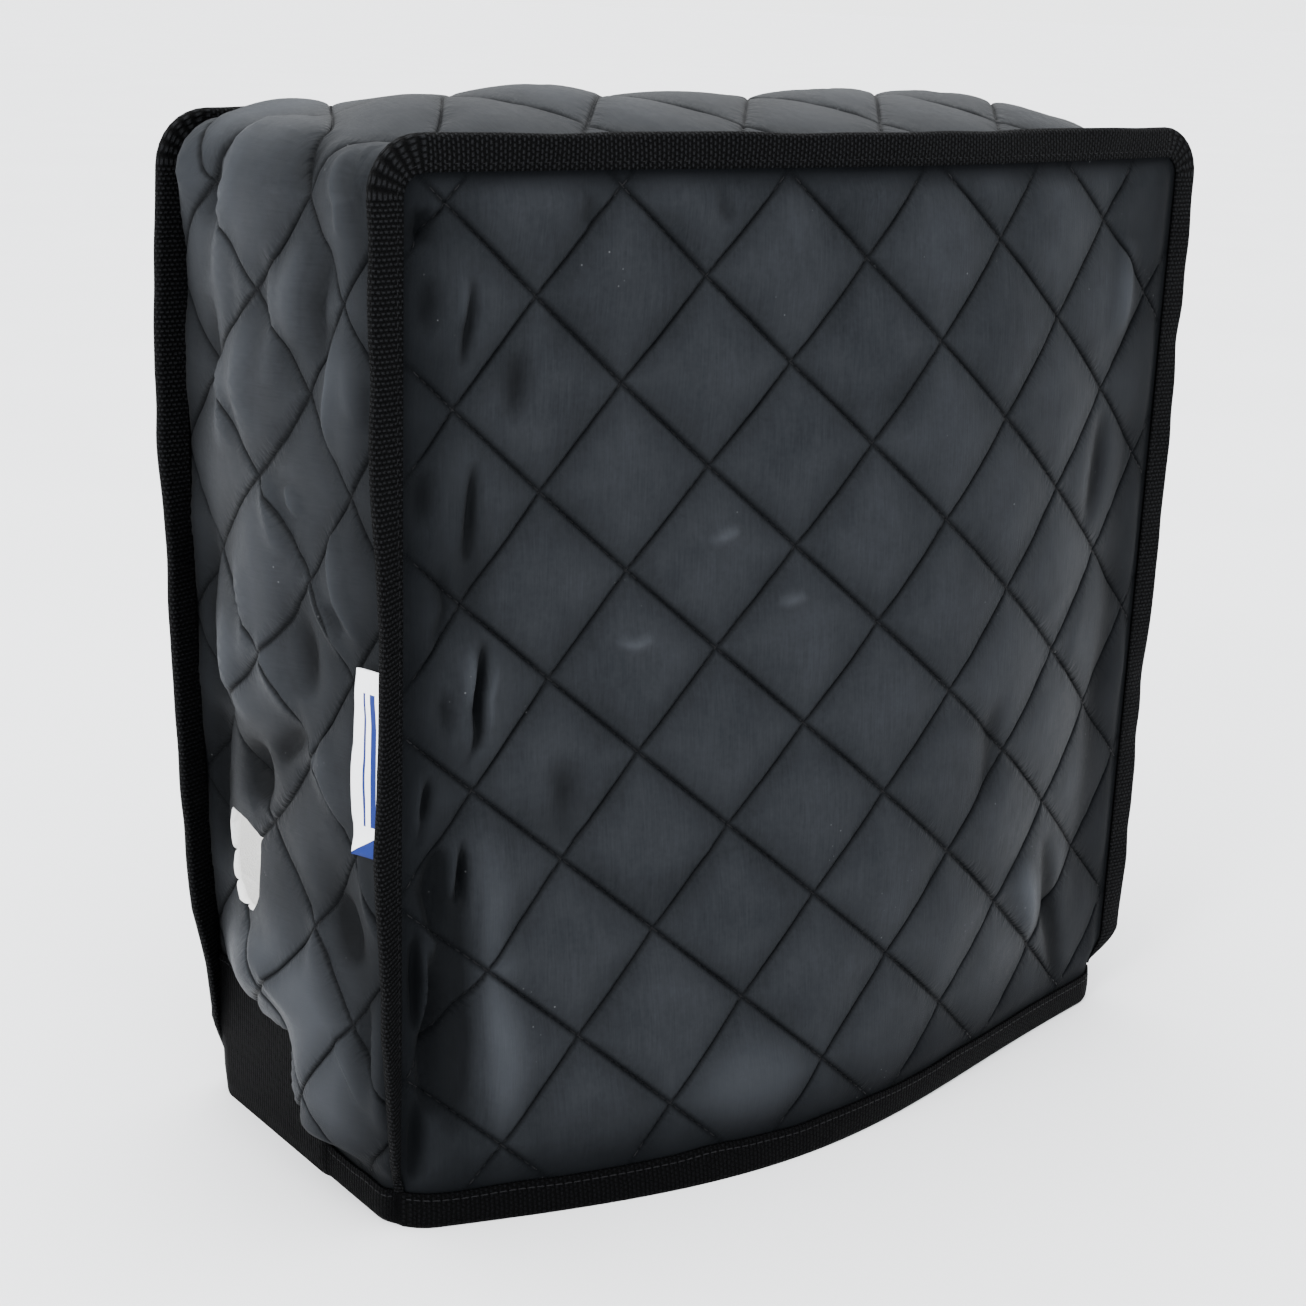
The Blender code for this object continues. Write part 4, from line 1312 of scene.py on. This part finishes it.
def quilted_cloth(name, dark, light, shine):
    """Satin-faced polyester: fine weave, cloudy tone that is partly uneven dye and partly painted satin
    reflection, a little lint, and painted shade and highlight on folds, by the stitching and beside the
    seams.
    """
    finish = Finish(name)
    nodes = finish.nodes
    weave = finish.effect(WEAVE, finish.flat, Pitch=0.00042)
    mottle = finish.effect(MOTTLE, finish.place, Size=0.024)
    margin = nodes.add("UVMap", uv_map="from seams").outputs["UV"]
    seam = finish.effect(SEAM_SHADE, margin, Reach=0.034)
    lint = finish.effect(LINT, finish.place, Amount=0.35)
    lattice = nodes.add("UVMap", uv_map="stitch lines").outputs["UV"]
    sewn = finish.effect(STITCH_LINE, lattice)
    # Tones for painted light: a deep tone for painted shade by the stitching and beside the seams, which
    # also darkens the weave's low threads; a near-black for painted shade in fold valleys; and a light
    # tone for painted highlight on fold ridges
    deep = tuple(0.35 * part for part in dark)
    painted_hollow_shade = tuple(0.1 * part for part in dark)
    painted_ridge_highlight = tuple(2.6 * part for part in light)
    # Cloudy tone, weave streaks, a tone for each diamond and grain: partly uneven dye and partly painted
    # satin reflection
    tone = nodes.times(mottle["Cloud"], 0.35)
    for share, strength in ((weave["Streak"], 0.25), (sewn["Patch"], 0.20), (mottle["Grain"], 0.25)):
        tone = nodes.math("MULTIPLY_ADD", share, strength, tone)
    colour = nodes.blend(tone, dark, light)
    # The folds map paints highlight on the ridges and shade in the valleys of folds and creases
    fold = nodes.split(nodes.add("UVMap", uv_map="folds").outputs["UV"])["X"]
    ridge = nodes.ranged(fold, 0.05, 0.9)
    valley = nodes.ranged(fold, -0.05, -0.75)
    for share, strength, towards in (
        (ridge, 0.55, painted_ridge_highlight), (valley, 0.75, painted_hollow_shade), (weave["Height"], 0.16, deep),
        (sewn["Dip"], 0.45, deep), (seam["Shade"], 0.85, deep), (sewn["Line"], 0.85, deep),
    ):
        colour = nodes.blend(nodes.times(share, strength), colour, towards)
    colour = nodes.blend(lint["Mask"], colour, (0.16, 0.165, 0.17))
    finish.feed("Base Color", colour)
    rough = nodes.ranged(mottle["Grain"], 0.0, 1.0, 0.44, 0.54)
    rough = nodes.math("MULTIPLY_ADD", seam["Shade"], 0.45, rough)
    finish.feed("Roughness", rough)
    finish.set(Specular_IOR_Level=shine, Sheen_Weight=0.008, Sheen_Roughness=0.4)
    finish.bump(
        (sewn["Pucker"], 0.0012), (mottle["Cloud"], 0.0003), (weave["Streak"], 0.00003),
        (weave["Height"], 0.00003),
    )
    return finish.material


def backing_cloth(name):
    """Pale unwoven backing on the inner face."""
    finish = Finish(name)
    nodes = finish.nodes
    mottle = finish.effect(MOTTLE, finish.place, Size=0.006)
    finish.feed("Base Color", nodes.blend(mottle["Grain"], (0.70, 0.70, 0.69), (0.84, 0.84, 0.83)))
    finish.set(Roughness=0.9)
    finish.bump((mottle["Grain"], 0.0002),)
    return finish.material


def ribbed_tape(name, dark, light):
    finish = Finish(name)
    nodes = finish.nodes
    ribs = finish.effect(RIBS, finish.flat, Pitch=0.0015)
    mottle = finish.effect(MOTTLE, finish.place, Size=0.004)
    # The rib crests take the light tone: painted sheen on the raised knots
    colour = nodes.blend(nodes.math("POWER", ribs["Height"], 2.0), dark, light)
    colour = nodes.blend(nodes.math("MULTIPLY", mottle["Grain"], 0.55), colour, dark)
    finish.feed("Base Color", colour)
    finish.feed("Roughness", nodes.ranged(mottle["Grain"], 0.0, 1.0, 0.62, 0.80))
    finish.set(Specular_IOR_Level=0.03)
    finish.bump((ribs["Height"], 0.0010), (mottle["Grain"], 0.00020))
    return finish.material


def sewing_thread(name):
    finish = Finish(name)
    nodes = finish.nodes
    mottle = finish.effect(MOTTLE, finish.place, Size=0.003)
    colour = nodes.blend(mottle["Grain"], (0.0015, 0.0015, 0.0020), (0.0060, 0.0060, 0.0070))
    finish.feed("Base Color", colour)
    finish.set(Roughness=0.5, Specular_IOR_Level=0.1)
    finish.bump((mottle["Grain"], 0.00006),)
    return finish.material


def label_satin(name):
    """White satin with a fine weave and plain blue stripes."""
    finish = Finish(name)
    nodes = finish.nodes
    split = nodes.split(finish.flat)
    up, across = split["X"], split["Y"]
    weave = finish.effect(WEAVE, finish.flat, Pitch=0.0005)

    def band(value, low, high):
        over = nodes.math("GREATER_THAN", value, low)
        under = nodes.math("LESS_THAN", value, high)
        return nodes.math("MULTIPLY", over, under)

    within = band(up, *STRIPE_ENDS)
    broad = nodes.times(band(across, *BROAD_STRIPE), within)
    thin = nodes.times(band(across, *THIN_STRIPE), within)
    foot = nodes.math("LESS_THAN", nodes.math("ADD", up, across), BLUE_CORNER)
    stripes = nodes.math("MAXIMUM", nodes.math("MAXIMUM", broad, thin), foot)
    white, grey = (0.93, 0.94, 0.96), (0.78, 0.79, 0.82)
    blue, light_blue = (0.000, 0.010, 0.11), (0.000, 0.020, 0.17)
    ground = nodes.blend(nodes.times(weave["Height"], 0.25), white, grey)
    ink = nodes.blend(nodes.times(weave["Height"], 0.3), blue, light_blue)
    finish.feed("Base Color", nodes.blend(stripes, ground, ink))
    finish.set(Roughness=0.55, Specular_IOR_Level=0.2)
    finish.bump((weave["Height"], 0.00006),)
    return finish.material


def pale_floor(name):
    finish = Finish(name)
    nodes = finish.nodes
    mottle = finish.effect(MOTTLE, finish.place, Size=0.35)
    finish.feed("Base Color", nodes.blend(mottle["Cloud"], (0.80, 0.80, 0.81), (0.83, 0.83, 0.84)))
    finish.set(Roughness=0.75)
    return finish.material


# The cover

CHARCOAL = ((0.0060, 0.0070, 0.0084), (0.0200, 0.0220, 0.0252))
# The side's copy of the charcoal has a dimmer light tone: painted shade on the side of the cover
SHADED_SIDE_CHARCOAL = ((0.0064, 0.0073, 0.0086), (0.0176, 0.0192, 0.0218))
front_cloth = quilted_cloth("charcoal quilted cloth front", *CHARCOAL, 0.025)
back_cloth = quilted_cloth("charcoal quilted cloth back", *CHARCOAL, 0.03)
side_cloth = quilted_cloth("charcoal quilted cloth side", *SHADED_SIDE_CHARCOAL, 0.04)
backing = backing_cloth("pale backing")
# The light tone of each tape is painted sheen on its rib crests, dimmer on the hem tape
tape = ribbed_tape("black ribbed tape", (0.0002, 0.0002, 0.0003), (0.0090, 0.0094, 0.0104))
hem_finish = ribbed_tape("black hem tape", (0.0002, 0.0002, 0.0003), (0.0026, 0.0027, 0.0032))
thread = sewing_thread("black sewing thread")

# Random creases: how many, between which places, how long and how high
PANEL_SPREAD = (110, (0.02, 0.01), (0.32, 0.31), (0.006, 0.020), (0.00010, 0.00035))
front_creases = crease_table(11, *PANEL_SPREAD)
back_creases = crease_table(12, *PANEL_SPREAD)
side_creases = crease_table(13, 150, (0.02, 0.01), (0.96, 0.11), (0.006, 0.024), (0.00015, 0.00050))
front_folds = list(FRONT_FOLDS) + front_creases
side_folds = list(GUSSET_FOLDS) + side_creases

front_lines = [(line, breadth, FRONT_CREASE_GAIN * rise) for line, breadth, rise in FRONT_CREASES]
side_lines = [(line, breadth, SIDE_CREASE_GAIN * rise) for line, breadth, rise in SIDE_CREASES]

front_skins = panel_skins(0.0, -1, *FRONT_QUILTING, front_folds, front_lines, panel_gain, 1)
back_skins = panel_skins(DEPTH, 1, *BACK_QUILTING, back_creases, (), None, 21)
side_skins = gusset_skins(side_folds, 31)


def panel_margin(flat):
    """Distance from the side and top seams, and height over the hem."""
    x, z = flat[:, 0], flat[:, 1]
    # These distances set the painted seam shade. They shrink over the right of the panel so the shade
    # reaches further there, and count fourfold below the top seam so it stays narrow there
    side = np.minimum(x, WIDTH - x) * (1 - 0.45 * ease((x - 0.25) / 0.05))
    return np.stack([np.minimum(side, 4 * (HEIGHT - z)), z - HEM], 1)


def gusset_margin(flat):
    along, back = flat[:, 0], flat[:, 1]
    return np.stack([np.minimum(back, DEPTH - back), strip_height(along) - HEM], 1)


# The material paints shade in the valleys and highlight on the ridges from this depth
def fold_depth(up_axis, folds, creases, deepest):
    """Depth of folds and creases, from -1 in a deep valley to 1 on a high ridge."""
    def depth(flat):
        up, across = flat[:, up_axis], flat[:, 1 - up_axis]
        rise = crease_lift(creases, up, across) + fold_lift(folds, up, across)
        return np.stack([np.clip(rise / deepest, -1, 1), 0 * up], 1)
    return depth


front = cloth_piece(
    "front_quilted_panel", panel_flat(*FRONT_QUILTING, panel_gain, front_lines), front_skins,
    [front_cloth, backing], panel_gain, FRONT_QUILTING, panel_margin,
    fold_depth(1, front_folds, front_lines, PANEL_DEEPEST),
)
back = cloth_piece(
    "back_quilted_panel", panel_flat(*BACK_QUILTING, None, ()), back_skins,
    [back_cloth, backing], None, BACK_QUILTING, panel_margin,
    fold_depth(1, back_creases, (), PANEL_DEEPEST),
)
side = cloth_piece(
    "quilted_gusset", gusset_flat(), side_skins, [side_cloth, backing], gusset_gain,
    GUSSET_QUILTING, gusset_margin, fold_depth(0, side_folds, side_lines, GUSSET_DEEPEST),
)


# Thread, tapes and label

def on_cloth(skins, gain):
    """Outer surface of a cloth at points given by their runs."""
    def place(runs):
        spots = straight_of(runs, gain)
        return settle(skins(np.column_stack([spots, np.zeros(len(spots))]))[0])
    return place


def inside_panel(gain):
    def keep(runs):
        x, z = straight_of(runs, gain).T
        near = seam_distance(np.clip(x, 0, WIDTH), np.clip(z, 0, HEIGHT))
        inside = (x > 0) & (x < WIDTH) & (z > HEM + 0.001) & (z < HEIGHT - 0.001)
        return inside & (near > 0.001)
    return keep


def inside_gusset(runs):
    along, across = straight_of(runs, gusset_gain).T
    spots = np.stack([along, across], 1)
    hole = np.max(np.abs(spots - HOLE) / (HOLE_HALF + 0.001), axis=1) > 1
    inside = (along > hem_height(0 * along, across) + 0.001) & (along < STRIP - HEM - 0.001)
    return inside & (across > 0.0018) & (across < DEPTH - 0.0018) & hole


def quilting_thread(name, low, high, quilting, keep, skins, gain):
    """All stitches of one piece's quilting, over a rectangle of its cloth."""
    starts, ends = quilting_stitches(low, high, *quilting, keep)
    return stitch_tubes(name, starts, ends, on_cloth(skins, gain), THREAD, thread)


front_thread = quilting_thread(
    "front_quilting_thread", (0, 0), (WIDTH + FRONT_SLACK, HEIGHT), FRONT_QUILTING,
    inside_panel(panel_gain), front_skins, panel_gain,
)
back_thread = quilting_thread(
    "back_quilting_thread", (0, 0), (WIDTH, HEIGHT), BACK_QUILTING,
    inside_panel(None), back_skins, None,
)
side_thread = quilting_thread(
    "gusset_quilting_thread", (-SLUMP, 0), (STRIP, DEPTH + SLACK), GUSSET_QUILTING,
    inside_gusset, side_skins, gusset_gain,
)

front_tape = seam_tape("front_seam_tape", 0.0, 41, tape)
back_tape = seam_tape("back_seam_tape", DEPTH, 42, tape)
front_rows = tape_stitches("front_tape_stitches", 0.0, 41, thread)
back_rows = tape_stitches("back_tape_stitches", DEPTH, 42, thread)
hem = hem_tape("hem_tape", hem_finish)
hem_row = hem_stitches("hem_stitches", thread)
label = label_piece("seam_label", label_satin("white label satin"))

for piece, node, slot in (
    (front, "front_panel", "front_cloth"),
    (back, "back_panel", "back_cloth"),
    (side, "gusset", "gusset_cloth"),
    (front_tape, "front_binding", "front_tape"),
    (back_tape, "back_binding", "back_tape"),
    (hem, "hem_binding", "hem_tape"),
    (label, "side_label", "label_cloth"),
):
    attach(piece, "root")
    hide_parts(node)
for piece, slot in (
    (front_thread, "front_cloth"), (back_thread, "back_cloth"), (side_thread, "gusset_cloth"),
    (front_rows[0], "front_tape"), (front_rows[1], "front_tape"),
    (back_rows[0], "back_tape"), (back_rows[1], "back_tape"), (hem_row, "hem_tape"),
):
    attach(piece, "root")

# Floor, camera and light

bpy.ops.mesh.primitive_circle_add(vertices=128, radius=60.0, fill_type="NGON")
floor = bpy.context.object
floor.name = "pale_floor"
floor.data.materials.append(pale_floor("pale studio floor"))

CAMERA_SPOT = (-0.49400, -0.59781, 0.38184)
CAMERA_YAW, CAMERA_PITCH, CAMERA_ROLL = (math.radians(a) for a in (-37.95, 16.33, 2.12))
CAMERA_LENS = 62.165


def camera_turn():
    cos_yaw, sin_yaw = math.cos(CAMERA_YAW), math.sin(CAMERA_YAW)
    forward, right, up = Vector((-sin_yaw, cos_yaw, 0)), Vector((cos_yaw, sin_yaw, 0)), Vector((0, 0, 1))
    cos_pitch, sin_pitch = math.cos(CAMERA_PITCH), math.sin(CAMERA_PITCH)
    ahead = forward * cos_pitch - up * sin_pitch
    above = up * cos_pitch + forward * sin_pitch
    cos_roll, sin_roll = math.cos(CAMERA_ROLL), math.sin(CAMERA_ROLL)
    across = right * cos_roll + above * sin_roll
    above = above * cos_roll - right * sin_roll
    return Matrix((across, above, -ahead)).transposed()


lens = bpy.data.cameras.new("photo camera")
lens.lens = CAMERA_LENS
lens.sensor_width = 36.0
lens.clip_start = 0.02
camera = bpy.data.objects.new("photo camera", lens)
camera.matrix_world = Matrix.Translation(CAMERA_SPOT) @ camera_turn().to_4x4()
bpy.context.scene.collection.objects.link(camera)
bpy.context.scene.camera = camera


def soft_light(name, spot, aim, size, power, colour):
    light = bpy.data.lights.new(name, "AREA")
    light.shape = "RECTANGLE"
    light.size, light.size_y = size
    light.energy = power
    light.color = colour
    lamp = bpy.data.objects.new(name, light)
    lamp.location = spot
    lamp.rotation_euler = (Vector(spot) - Vector(aim)).to_track_quat("Z", "Y").to_euler()
    bpy.context.scene.collection.objects.link(lamp)


soft_light("left softbox", (-1.5, -0.6, 1.25), (0, 0, 0.22), (0.5, 0.8), 34, (0.98, 0.99, 1.0))
soft_light(
    "light under the cover", (0.0, -0.01, 0.14), (-0.11, 0.08, 0.10), (0.05, 0.05), 0.5,
    (1.0, 1.0, 1.0),
)


def soft_sky():
    """Studio light that is strong overhead and weaker at the sides."""
    world = bpy.data.worlds.new("studio")
    world.use_nodes = True
    nodes = Nodes(world.node_tree)
    split = nodes.add("SeparateXYZ")
    nodes.put(split.inputs[0], nodes.add("TexCoord").outputs["Generated"])
    overhead = nodes.ranged(split.outputs["Z"], 0.1, 1.0, 0.4, 6.2)
    horizon = nodes.ranged(split.outputs["Z"], 0.03, 0.10, 3.2, 0.4)
    strength = nodes.math("MAXIMUM", overhead, horizon)
    background = world.node_tree.nodes["Background"]
    background.inputs["Color"].default_value = (0.97, 0.985, 1.0, 1)
    nodes.put(background.inputs["Strength"], strength)
    bpy.context.scene.world = world


soft_sky()
